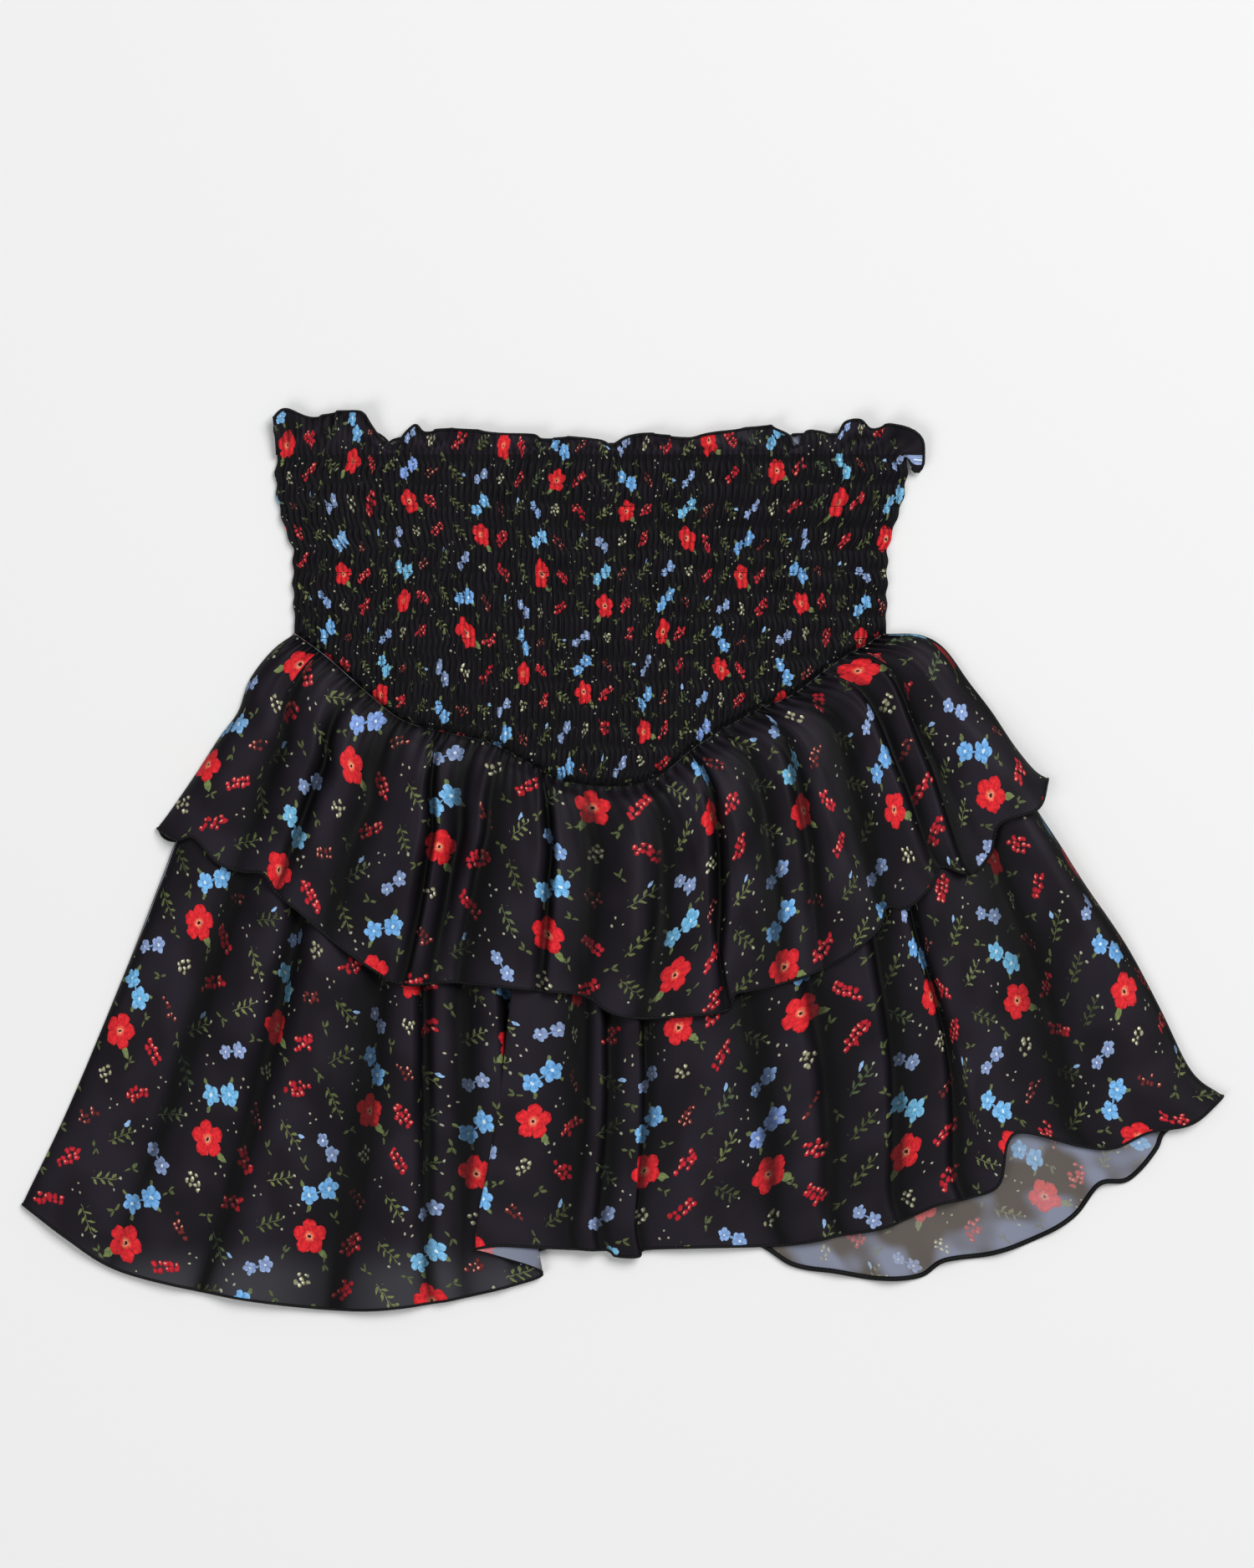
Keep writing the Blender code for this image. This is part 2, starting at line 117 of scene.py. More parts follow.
def placeOn(panel, s, t):
    # spread a panel between its four edges; s runs across and t runs down
    s1, t1 = s[..., None], t[..., None]
    top, hem, left, right = (panel[key] for key in ("top", "hem", "left", "right"))
    zero, one = np.zeros(1), np.ones(1)
    corners = ((1 - s1) * (1 - t1) * lineAt(top, zero)[..., :2]
               + s1 * (1 - t1) * lineAt(top, one)[..., :2]
               + (1 - s1) * t1 * lineAt(hem, zero)[..., :2]
               + s1 * t1 * lineAt(hem, one)[..., :2])
    rows = (1 - t1) * lineAt(top, s)[..., :2] + t1 * lineAt(hem, s)[..., :2]
    sides = (1 - s1) * lineAt(left, t)[..., :2] + s1 * lineAt(right, t)[..., :2]
    return rows + sides - corners


def runLength(points, axis):
    steps = np.linalg.norm(np.diff(points, axis=axis), axis=-1)
    start = np.zeros_like(np.take(steps, [0], axis=axis))
    return np.concatenate([start, np.cumsum(steps, axis=axis)], axis=axis)


gathers = {
    "tallest": 0.45,  # how far down a fold is at its tallest
    "leanShift": 0.22,  # how far a full lean moves the crest of a fold
    "overhang": 0.1,  # and how far it makes the cloth hang over
    "tuck": 0.14,  # share of a fold at each end that hides the rest of the cloth
    "ripples": 62,  # small gathers along the seam
    "rippleReach": (0.05, 0.16),  # the shortest, and how much longer the longest is
    "creaseHeight": 0.45,
}


def foldPeak(lean):
    return 0.5 + gathers["leanShift"] * lean


def foldProfile(q, lean):
    # height share over one fold, and where each part of it lies from side to side
    peak = foldPeak(lean)
    warped = np.where(q < peak, 0.5 * q / peak, 0.5 + 0.5 * (q - peak) / (1 - peak))
    bulge = 0.25 * (1 - np.abs(2 * warped - 1) ** 2.0) + 0.375 * (1 - np.cos(2 * np.pi * warped))
    return bulge, q + gathers["overhang"] * lean * bulge


def crestHeight(row, t):
    # height of one fold from the seam down to the hem
    seam, middle, hem = row[3:6]
    tallest = gathers["tallest"]
    upper = (middle - seam) * ease(t / tallest)
    return seam + upper + (hem - middle) * ease((t - tallest) / (1 - tallest))


def foldLines(panel, folds, t):
    # where each valley runs from the seam to the hem, and each fold's share of the hem
    seamShares = [shareAtX(panel["top"], row[0]) for row in folds] + [1.0]
    hemShares = [shareAtX(panel["hem"], row[1]) for row in folds] + [1.0]
    seamShares[0] = hemShares[0] = 0.0
    bows = [row[2] / panel["hem"]["length"] for row in folds] + [0.0]
    lines = [seam + (hem - seam) * t + bow * 4 * t * (1 - t)
             for seam, hem, bow in zip(seamShares, hemShares, bows)]
    return lines, np.diff(hemShares)


def gatheredFolds(panel, tier, t):
    # the large folds: shares across, heights, flat-cut places and shade in the valleys
    folds = tier["folds"]
    lines, spans = foldLines(panel, folds, t)
    crests = [crestHeight(row, t) for row in folds]
    crests = [crests[0], *crests, crests[-1]]
    tuck = gathers["tuck"]
    parts = []
    flatStart = 0.0
    for index, row in enumerate(folds):
        span = spans[index] * panel["hem"]["length"]
        count = max(12, round(span / tier["columnPitch"]))
        lean = row[6]
        even = (np.arange(count + 1) / count)[:, None]
        peak = foldPeak(lean)
        steep = np.where(even < 0.5, 2 * even * peak, peak + (2 * even - 1) * (1 - peak))
        q = 0.5 * (even + steep)
        bulge, across = foldProfile(q, lean)
        s = lines[index] + (lines[index + 1] - lines[index]) * across
        crest = crests[index + 1]
        high = crest * bulge
        spots = placeOn(panel, s, np.broadcast_to(t, s.shape))
        arc = runLength(np.concatenate([spots, high[..., None]], axis=-1), 0)[-1]
        # the cloth keeps its own scale on the crest and hides the rest in the valleys
        flat = span * tier["flatWidth"] / (panel["hem"]["length"] * mm)
        seen = np.clip(1.15 * arc / flat, 0.3, 1.0)
        hidden = ((0.5 - 0.5 * lean) * ease(q / tuck)
                  + (0.5 + 0.5 * lean) * ease((q - 1 + tuck) / tuck))
        u = flatStart + flat * (seen * across + (1 - seen) * hidden)
        flatStart += flat
        # little light reaches the valley between two high folds
        nearest = np.minimum(q, 1 - q) * np.linalg.norm(spots[-1] - spots[0], axis=-1)
        beside = np.maximum(np.where(q < 0.5, crests[index], crests[index + 2]), crest)
        shade = 0.85 * (1 - bulge) ** 1.1 * np.clip(crest / tier["deep"], 0.0, 1.0)
        close = np.exp(-(nearest / tier["valley"]) ** 2)
        shade = shade + 0.6 * close * np.clip(beside / tier["deep"], 0.0, 1.0)
        kept = slice(None) if row is folds[-1] else slice(None, -1)
        parts.append([values[kept] for values in (s, high, u, shade)])
    return [np.vstack(columns) for columns in zip(*parts)]


def gatheredTier(panel, tier):
    # points and flat-cut coordinates of a gathered panel, before its floor is added
    t = np.linspace(0.0, 1.0, tier["rows"] + 1)
    s, high, u, hollowShade = gatheredFolds(panel, tier, t)
    down = np.broadcast_to(t, s.shape)
    flat = placeOn(panel, s, down)
    # gathers of the seam, each dying out at its own length
    seed = tier["seed"]
    shortest, more = gathers["rippleReach"]
    length = shortest + more * (0.5 + 0.5 * softNoise(s * 46, 0.3, seed))
    turns = gathers["ripples"] * s + 0.6 * softNoise(s * 20, down * 3, seed + 1)
    ripple = np.sin(2 * np.pi * turns)
    fading = np.exp(-down / length)
    high = high * ease(down / 0.1) + tier["seamRipple"] * fading * (0.5 + 0.5 * ripple)
    # painted shade: the troughs of the seam gathers, and a band along the seam, are painted darker
    fromSeam = down * 100 / tier["seamShade"]
    hollowShade = hollowShade + fading * (0.5 - 0.5 * ripple) ** 1.5 + 0.8 * np.exp(-fromSeam)
    hollowShade = np.clip(hollowShade, 0.0, 1.0)
    # finer creases that run with the folds, then soft crumples
    fine = softNoise(s * 70, down * 2.5, seed + 2) * np.exp(-down * 2.0)
    high = high + gathers["creaseHeight"] * fine * ease(down / 0.05)
    x, y = flat[..., 0], flat[..., 1]
    crumple = softNoise(x / 19 + y / 70, y / 34 - x / 90, seed + 3)
    crumple = crumple + 0.5 * softNoise(x / 9, y / 15, seed + 4)
    high = high + tier["crumple"] * crumple * ease(down / 0.2)
    lift = lineAt(panel["hem"], s)[..., 2] * ease((down - 0.12) / 0.35)
    v = runLength(flat, 1)
    return flat, np.maximum(high, 0.0) + lift, u * mm, -v * mm, down, hollowShade


def gatheredPoints(flat, high, base, tier, down):
    # from its seam the cloth comes up to its base, and its sides turn down
    top = tier["seamTop"] + (base - tier["seamTop"]) * ease(down / tier["seamReach"]) + high
    top = rolledSides(top, flat, tier["sideLow"])
    return np.concatenate([flat, top[..., None]], axis=-1)


def rolledSides(height, flat, low, width=5.0):
    # the side edges turn down to the back panel, as the fold of a flat tube does
    fromLeft = np.linalg.norm(flat - flat[:1], axis=-1)
    fromRight = np.linalg.norm(flat - flat[-1:], axis=-1)
    near = np.clip(np.minimum(fromLeft, fromRight) / width, 0.0, 1.0)
    rise = np.sqrt(1.0 - (1.0 - near) ** 2)
    return low + (height - low) * rise


fieldCell = 3.0
fieldCorner = np.array([-300.0, -230.0])
fieldSize = (200, 150)


def heightField(points, empty):
    # the highest point of a draped piece over each small square of the table
    field = np.full(fieldSize, empty)
    spots = ((points[..., :2] - fieldCorner) / fieldCell).astype(int).reshape(-1, 2)
    np.maximum.at(field, (spots[:, 0], spots[:, 1]), points[..., 2].reshape(-1))
    return field


def spreadField(field, reach):
    # cloth on top bridges from crest to crest
    cells = int(math.ceil(reach / fieldCell))
    highest = field.copy()
    for i in range(-cells, cells + 1):
        for j in range(-cells, cells + 1):
            if i * i + j * j <= (reach / fieldCell) ** 2:
                highest = np.maximum(highest, np.roll(field, (i, j), (0, 1)))
    soft = np.zeros_like(highest)
    for i in (-1, 0, 1):
        for j in (-1, 0, 1):
            soft += np.roll(highest, (i, j), (0, 1)) / 9
    return soft


def sampleField(field, flat):
    spots = (flat - fieldCorner) / fieldCell - 0.5
    i = np.floor(spots[..., 0]).astype(int)
    j = np.floor(spots[..., 1]).astype(int)
    u = spots[..., 0] - i
    v = spots[..., 1] - j
    low = field[i, j] * (1 - u) + field[i + 1, j] * u
    high = field[i, j + 1] * (1 - u) + field[i + 1, j + 1] * u
    return low * (1 - v) + high * v


def finish(obj, nodes=()):
    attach(obj, "root")
    if nodes:
        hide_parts(*nodes)
    return obj


def newPiece(name, spots, faces, mapName, places, materials):
    # a smooth piece with one place on its UV map for each point
    mesh = bpy.data.meshes.new(name)
    mesh.from_pydata(spots.tolist(), [], faces)
    loops = np.zeros(len(mesh.loops), dtype=np.int64)
    mesh.loops.foreach_get("vertex_index", loops)
    layer = mesh.uv_layers.new(name=mapName)
    layer.data.foreach_set("uv", places[loops].reshape(-1).astype(np.float32))
    for material in materials:
        mesh.materials.append(material)
    mesh.shade_smooth()
    obj = bpy.data.objects.new(name, mesh)
    bpy.context.scene.collection.objects.link(obj)
    return obj


def makeSheet(name, points, u, v, materials, faceUp=True, oneLayerPaintedLight=None, hollowShade=None,
              thickness=clothThickness):
    # a grid of cloth with its flat-cut UV map; a wall is added behind its right side
    columns, rows = points.shape[:2]
    grid = np.arange(columns * rows).reshape(columns, rows)
    quads = np.stack([grid[:-1, :-1], grid[:-1, 1:], grid[1:, 1:], grid[1:, :-1]], axis=-1)
    quads = quads.reshape(-1, 4)
    if not faceUp:
        quads = quads[:, ::-1]
    spots = points.reshape(-1, 3) * mm
    obj = newPiece(name, spots, quads.tolist(), "flatCut",
                   np.stack([u, v], axis=-1).reshape(-1, 2), materials)
    mesh = obj.data
    # painted see-through light and painted shade ride on the mesh as point attributes
    for key, values in (("oneLayerPaintedLight", oneLayerPaintedLight), ("hollowShade", hollowShade)):
        values = np.zeros(len(spots)) if values is None else values.reshape(-1)
        layer = mesh.attributes.new(key, "FLOAT", "POINT")
        layer.data.foreach_set("value", values.astype(np.float32))
    # the cut edge is crisp, so that the cloth beside it keeps its own shading
    border = np.ones((columns, rows), dtype=bool)
    border[1:-1, 1:-1] = False
    ends = np.zeros(2 * len(mesh.edges), dtype=np.int64)
    mesh.edges.foreach_get("vertices", ends)
    crisp = border.reshape(-1)[ends.reshape(-1, 2)].all(axis=1)
    mesh.attributes.new("sharp_edge", "BOOLEAN", "EDGE").data.foreach_set("value", crisp)
    wall = obj.modifiers.new("wall", "SOLIDIFY")
    wall.thickness = thickness * mm
    wall.offset = -1.0
    wall.material_offset = 1
    wall.material_offset_rim = 2
    return obj


def makeCord(name, paths, radius, material, sides=6):
    # thread wound along one or more lines; its UV map runs along and round it
    spots, faces, places = [], [], []
    for path in paths:
        path = np.asarray(path, dtype=float)
        along = np.gradient(path, axis=0)
        along /= np.linalg.norm(along, axis=1)[:, None] + 1e-9
        side = np.cross(along, [0.0, 0.0, 1.0])
        side /= np.linalg.norm(side, axis=1)[:, None] + 1e-9
        up = np.cross(side, along)
        run = runLength(path, 0)
        first = len(spots)
        count = len(path)
        for k in range(sides):
            angle = 2 * math.pi * k / sides
            ring = path + radius * (math.cos(angle) * side + math.sin(angle) * up)
            spots.extend(ring * mm)
            places.extend(np.column_stack([run * mm, np.full(count, k / sides)]))
        for k in range(sides):
            here = first + k * count
            there = first + ((k + 1) % sides) * count
            for i in range(count - 1):
                faces.append((here + i, here + i + 1, there + i + 1, there + i))
        faces.append([first + k * count for k in range(sides)])
        faces.append([first + k * count + count - 1 for k in reversed(range(sides))])
    return newPiece(name, np.array(spots), faces, "alongThread", np.array(places), [material])


def hexColour(text):
    # sRGB hex to a linear colour
    parts = [int(text[i:i + 2], 16) / 255 for i in (0, 2, 4)]
    linear = [c / 12.92 if c <= 0.04045 else ((c + 0.055) / 1.055) ** 2.4 for c in parts]
    return (*linear, 1.0)


def nodeMaker(tree):
    # a function that adds a node of a kind to this tree; each input is a value, or an output
    # to link it to
    def node(kind, *inputs, out=0):
        name, settings = kind
        made = tree.nodes.new("ShaderNode" + name)
        for key, value in settings.items():
            setattr(made, key, value)
        for socket, value in zip(made.inputs, inputs):
            if isinstance(value, bpy.types.NodeSocket):
                tree.links.new(value, socket)
            elif value is not None:
                socket.default_value = value
        return made.outputs[out]

    return node


def setRamp(socket, stops, steps=False):
    ramp = socket.node.color_ramp
    ramp.interpolation = "CONSTANT" if steps else "LINEAR"
    ramp.elements.remove(ramp.elements[1])
    for index, (place, colour) in enumerate(stops):
        element = ramp.elements.new(place) if index else ramp.elements[0]
        element.position = place
        element.color = hexColour(colour) if isinstance(colour, str) else (*colour, 1.0)


printSizes = {
    "repeat": 64.0,  # one large red flower in each square of this size
    "edge": 0.35,  # softness of a printed edge
    "wander": 1.7,
}

# kinds of node, each with its settings
(add, subtract, multiply, divide, multiplyAdd, power, least, most, absolute, fraction, lessThan,
 greaterThan, cosine, arctangent) = (("Math", {"operation": name}) for name in (
    "ADD", "SUBTRACT", "MULTIPLY", "DIVIDE", "MULTIPLY_ADD", "POWER", "MINIMUM", "MAXIMUM",
    "ABSOLUTE", "FRACT", "LESS_THAN", "GREATER_THAN", "COSINE", "ARCTAN2"))
(vectorAdd, vectorSubtract, vectorMultiply, vectorScale, vectorFloor, vectorFraction,
 vectorLength, vectorDistance, dotProduct) = (("VectorMath", {"operation": name}) for name in (
    "ADD", "SUBTRACT", "MULTIPLY", "SCALE", "FLOOR", "FRACTION", "LENGTH", "DISTANCE",
    "DOT_PRODUCT"))
joinXYZ, splitXYZ, splitColour, mix, colourRamp, mapRange, mapping, bumpMap = (
    (name, {}) for name in ("CombineXYZ", "SeparateXYZ", "SeparateColor", "MixRGB", "ValToRGB",
                            "MapRange", "Mapping", "Bump"))
smoothRange = ("MapRange", {"interpolation_type": "SMOOTHSTEP"})
softPatches = ("TexNoise", {"noise_dimensions": "2D"})
whiteNoise = ("TexWhiteNoise", {"noise_dimensions": "2D"})
diagonalWave = ("TexWave", {"bands_direction": "DIAGONAL"})
turnAboutZ = ("VectorRotate", {"rotation_type": "Z_AXIS"})


def petalFlower(node, x, y, radius, petals, depth):
    # mask and radial share of a flower; x and y are millimetres from its middle
    place = node(joinXYZ, x, y)
    reach = node(vectorLength, place, out=1)
    angle = node(arctangent, y, x)
    wave = node(cosine, node(multiply, angle, petals / 2))
    lobe = node(power, node(absolute, wave), 0.55)
    rim = node(multiply, radius, node(multiplyAdd, lobe, depth, 1 - depth))
    inside = node(subtract, rim, reach)
    mask = node(smoothRange, inside, 0.0, printSizes["edge"])
    share = node(divide, reach, radius)
    return mask, share, lobe


def leafShape(node, x, y, length, width):
    # a pointed leaf from the origin along +x
    share = node(divide, x, length)
    rest = node(subtract, 1.0, share)
    belly = node(multiply, node(multiply, share, rest), 4 * width)
    inside = node(subtract, belly, node(absolute, y))
    return node(smoothRange, inside, 0.0, printSizes["edge"])


def dotShapes(node, place, spots, radius):
    nearest = 99.0
    for spot in spots:
        gap = node(vectorDistance, place, (*spot, 0.0), out=1)
        nearest = node(least, nearest, gap)
    inside = node(subtract, radius, nearest)
    return node(smoothRange, inside, 0.0, printSizes["edge"])


def turnedLeaf(node, place, angle, length, width):
    # a leaf that leaves the origin at an angle
    turned = node(turnAboutZ, place, None, None, -angle)
    axes = node(splitXYZ, turned).node.outputs
    return leafShape(node, axes[0], axes[1], length, width)


def kindRamp(node, kind, values):
    # a colour, or a grey for each number, for each kind of motif
    values = [value if isinstance(value, str) else (value,) * 3 for value in values]
    ramp = node(colourRamp, kind)
    setRamp(ramp, [(i / 10, value) for i, value in enumerate(values)], steps=True)
    return ramp


def motifSites(node, place, wander):
    # sites of the small motifs, ten kinds in a satin order: 0 red flower, 1 berries, 2 sprig,
    # 3 blue pair, 4 brown cluster, 5 bud sprig, 6 violet pair, 7 cream cluster, 8 berries,
    # 9 sprig
    cell = printSizes["repeat"] / math.sqrt(10)
    sites = node(vectorScale, place, None, None, 1000 / cell)
    site = node(vectorFloor, sites)
    chance = node(whiteNoise, site, out=1)
    chanceA, chanceB, chanceC = node(splitColour, chance).node.outputs
    order = node(dotProduct, site, (0.1, 0.3, 0.0), out=1)
    kind = node(fraction, node(add, order, 0.05))
    inCell = node(vectorFraction, sites)
    centred = node(vectorSubtract, inCell, (0.5, 0.5, 0.0))
    local = node(vectorScale, centred, None, None, cell)
    local = node(vectorAdd, local, wander)
    # two in three motifs lean up to the right, the rest down
    side = node(greaterThan, chanceA, 0.62)
    angle = node(multiplyAdd, side, 1.35, -0.85)
    tilt = node(multiplyAdd, chanceB, 0.45, angle)
    turned = node(turnAboutZ, local, None, None, tilt)
    x, y, _ = node(splitXYZ, turned).node.outputs

    def isOneOf(*kinds):
        return kindRamp(node, kind, [1.0 if i in kinds else 0.0 for i in range(10)])

    return {"cell": cell, "sites": sites, "site": site, "kind": kind, "chance": chanceC,
            "turned": turned, "x": x, "y": y, "mirroredX": node(absolute, x),
            "mirroredY": node(absolute, y), "isOneOf": isOneOf}


sprig = {
    "leafPitch": 3.9,
    "leaf": (0.85, 4.3, 0.85),  # angle, length and width
    "leavesTo": 5.8,
    "stemTo": 7.2,
    "stemWidth": 0.16,
    "greens": [(0.0, "3c442a"), (0.35, "5f6a3e"), (0.7, "747c50"), (1.0, "48583f")],
    "budsAt": [(7.6, 0.2), (4.6, -4.6)],
    "budRadius": 0.8,
    "budColour": "a4a890",
    "dropAt": (2.4, 3.0, 0.0),
    "drop": (0.5, 4.6, 1.05),
    "dropColour": "8fb4dc",
}


def sprigLayers(node, motif):
    # leaves left and right in turn along a thin stem, a pale bud at the tip
    isSprig = motif["isOneOf"](2, 5, 9)
    pitch = sprig["leafPitch"]
    upper = node(greaterThan, motif["y"], 0.0)
    beat = node(multiplyAdd, motif["x"], 1 / pitch, 1.6)
    beat = node(multiplyAdd, upper, 0.5, beat)
    rise = node(multiply, node(fraction, beat), pitch)
    leaves = turnedLeaf(node, node(joinXYZ, rise, motif["mirroredY"]), *sprig["leaf"])
    leaves = node(multiply, leaves, node(lessThan, motif["mirroredX"], sprig["leavesTo"]))
    stem = node(lessThan, motif["mirroredY"], sprig["stemWidth"])
    stem = node(multiply, stem, node(lessThan, motif["mirroredX"], sprig["stemTo"]))
    green = node(multiply, node(most, leaves, stem), isSprig)
    leafTone = node(colourRamp, motif["chance"])
    setRamp(leafTone, sprig["greens"])
    bud = dotShapes(node, motif["turned"], sprig["budsAt"], sprig["budRadius"])
    # bud sprigs also carry a pale blue drop
    dropPlace = node(vectorSubtract, motif["turned"], sprig["dropAt"])
    drop = turnedLeaf(node, dropPlace, *sprig["drop"])
    drop = node(multiply, drop, motif["isOneOf"](5))
    return [(green, leafTone), (node(multiply, bud, isSprig), hexColour(sprig["budColour"])),
            (drop, hexColour(sprig["dropColour"]))]


flowerPair = {
    # size of the small violet kind, and how much larger the blue kind is
    "radius": (3.35, 1.35),
    "apart": (3.9, 1.1),
    "rightLarger": 0.55,
    "petals": 5,
    "depth": 0.42,
    "stemWidth": 0.4,
    "stemTo": 3.6,
    "leafAt": (5.6, 3.2),
    "leaf": (1.0, 5.4, 1.0),
    "leafColour": "66724a",
    "blues": [(0.0, "4a92d4"), (0.4, "5aa6e0"), (0.7, "52aecb"), (1.0, "7388d6")],
    "violets": [(0.0, "6d73a0"), (0.6, "8288b8"), (1.0, "6488c4")],
    "rim": "a9d2f2",
    "crease": "2f5f9a",
    "heart": "cfe4ee",
}


def pairLayers(node, motif):
    # two flowers end to end: large and blue with leaves, or small and violet with a stem
    isBlue = motif["isOneOf"](3)
    isPair = motif["isOneOf"](3, 6)
    mirroredX, mirroredY = motif["mirroredX"], motif["mirroredY"]
    smallest, more = flowerPair["radius"]
    radius = node(multiplyAdd, isBlue, more, smallest)
    radius = node(multiplyAdd, node(greaterThan, motif["x"], 0.0), flowerPair["rightLarger"],
                  radius)
    nearest, further = flowerPair["apart"]
    outward = node(subtract, mirroredX, node(multiplyAdd, isBlue, further, nearest))
    pair, share, lobe = petalFlower(node, outward, motif["y"], radius, flowerPair["petals"],
                                    flowerPair["depth"])
    stem = node(lessThan, mirroredY, flowerPair["stemWidth"])
    stem = node(multiply, stem, node(lessThan, mirroredX, flowerPair["stemTo"]))
    pair = node(multiply, node(most, pair, stem), isPair)
    leafX, leafY = flowerPair["leafAt"]
    corner = node(joinXYZ, node(subtract, mirroredX, leafX), node(subtract, mirroredY, leafY))
    leaf = node(multiply, turnedLeaf(node, corner, *flowerPair["leaf"]), isBlue)
    blueTone = node(colourRamp, motif["chance"])
    setRamp(blueTone, flowerPair["blues"])
    violetTone = node(colourRamp, motif["chance"])
    setRamp(violetTone, flowerPair["violets"])
    tone = node(mix, isBlue, violetTone, blueTone)
    pale = node(mapRange, share, 0.1, 0.9, 0.1, 0.4)
    tone = node(mix, pale, tone, hexColour(flowerPair["rim"]))
    crease = node(mapRange, lobe, 0.1, 0.5, 0.6, 0.0)
    tone = node(mix, crease, tone, hexColour(flowerPair["crease"]))
    tone = node(mix, node(lessThan, share, 0.16), tone, hexColour(flowerPair["heart"]))
    return [(leaf, hexColour(flowerPair["leafColour"])), (pair, tone)]


berries = {
    "pitch": 2.6,
    # half the length and width of the oval of each kind, in centimetres
    "ovalX": [0.0, 0.7, 0.0, 0.0, 0.6, 0.0, 0.0, 0.42, 0.72, 0.0],
    "ovalY": [0.0, 0.33, 0.0, 0.0, 0.28, 0.0, 0.0, 0.36, 0.31, 0.0],
    "size": (0.45, 0.1),  # of the pitch, and how much larger the red ones are
    "colours": ["000000", "c02432", "000000", "000000", "6e2a28", "000000", "000000", "9da080",
                "b41e2c", "000000"],
    "rim": "3a0a10",
    "speckAt": (-0.1, 0.14, 0.0),
    "speckRadius": 0.17,
    "specks": ("e09a86", "e6e6cc"),  # on red and brown berries, on cream ones
}


def berryLayers(node, motif):
    # clusters of round berries, kept whole inside an oval
    pitch = berries["pitch"]
    shift = node(vectorScale, motif["site"], None, None, 7.31)
    berryPlace = node(vectorScale, motif["turned"], None, None, 1 / pitch)
    berryPlace = node(vectorAdd, berryPlace, shift)
    voronoi = node(("TexVoronoi", {"voronoi_dimensions": "2D"}), berryPlace, None, 1.0).node
    voronoi.inputs["Randomness"].default_value = 0.5
    berryAt = node(vectorSubtract, voronoi.outputs["Position"], shift)
    berryX, berryY, _ = node(splitXYZ, berryAt).node.outputs
    ovalX = kindRamp(node, motif["kind"], berries["ovalX"])
    ovalY = kindRamp(node, motif["kind"], berries["ovalY"])
    overX = node(divide, node(multiply, berryX, pitch / 10), ovalX)
    overY = node(divide, node(multiply, berryY, pitch / 10), ovalY)
    far = node(vectorLength, node(joinXYZ, overX, overY), out=1)
    kept = node(multiply, node(lessThan, far, 1.0), motif["isOneOf"](1, 4, 7, 8))
    smallest, more = berries["size"]
    size = node(multiplyAdd, motif["isOneOf"](1, 8), more, smallest)
    grain = node(subtract, size, voronoi.outputs["Distance"])
    berry = node(multiply, node(smoothRange, grain, 0.0, 0.12), kept)
    tone = kindRamp(node, motif["kind"], berries["colours"])
    rim = node(mapRange, grain, 0.0, 0.3, 0.75, 0.0)
    tone = node(mix, rim, tone, hexColour(berries["rim"]))
    # a light spot on two berries in three, off the middle
    speckAt = node(vectorAdd, voronoi.outputs["Position"], berries["speckAt"])
    speckFar = node(vectorDistance, berryPlace, speckAt, out=1)
    speck = node(lessThan, speckFar, berries["speckRadius"])
    lit = node(splitColour, voronoi.outputs["Color"]).node.outputs[0]
    speck = node(multiply, speck, node(greaterThan, lit, 0.4))
    speck = node(multiply, speck, kept)
    onDark, onCream = (hexColour(text) for text in berries["specks"])
    speckTone = node(mix, motif["isOneOf"](7), onDark, onCream)
    return [(berry, tone), (speck, speckTone)]


cornerSprig = {
    "leaves": [(0.0, 4.2, 0.8), (0.9, 3.8, 0.8), (-2.3, 3.8, 0.8)],  # angle, length, width
    "leafColour": "56603c",
    "dotsAt": [(-2.2, -1.2), (2.0, -1.4), (0.5, 2.1)],
    "dotRadius": 0.72,
    "dotColour": "a9a992",
}


def cornerLayers(node, motif, wander):
    # the corners of the sites hold a small three-leaved sprig or three loose dots
    corners = node(vectorAdd, motif["sites"], (0.5, 0.5, 0.0))
    cornerChance = node(whiteNoise, node(vectorFloor, corners), out=1)
    spinChance, whatChance, _ = node(splitColour, cornerChance).node.outputs
    nearCorner = node(vectorSubtract, node(vectorFraction, corners), (0.5, 0.5, 0.0))
    small = node(vectorScale, nearCorner, None, None, motif["cell"])
    small = node(vectorAdd, small, wander)
    small = node(turnAboutZ, small, None, None, node(multiply, spinChance, 6.28))
    trio = 0.0
    for leaf in cornerSprig["leaves"]:
        trio = node(most, trio, turnedLeaf(node, small, *leaf))
    trio = node(multiply, trio, node(lessThan, whatChance, 0.5))
    dots = dotShapes(node, small, cornerSprig["dotsAt"], cornerSprig["dotRadius"])
    dots = node(multiply, dots, node(greaterThan, whatChance, 0.68))
    return [(trio, hexColour(cornerSprig["leafColour"])),
            (dots, hexColour(cornerSprig["dotColour"]))]


redFlower = {
    "radius": 8.2,
    "petals": 5,
    "depth": 0.34,
    "latticeAt": (0.4, 0.3, 0),
    "leafFrom": (6.0, 0.0, 0.0),
    "leaf": (0.15, 7.0, 1.9),
    "leafColour": "6f7d4c",
    # from the heart to the rim
    "reds": [(0.0, "2a0c10"), (0.08, "2a0c10"), (0.12, "f0a080"), (0.2, "ec6a50"),
             (0.34, "d8222c"), (0.75, "dc2a30"), (0.95, "c01824")],
    "crease": "9a1420",
}


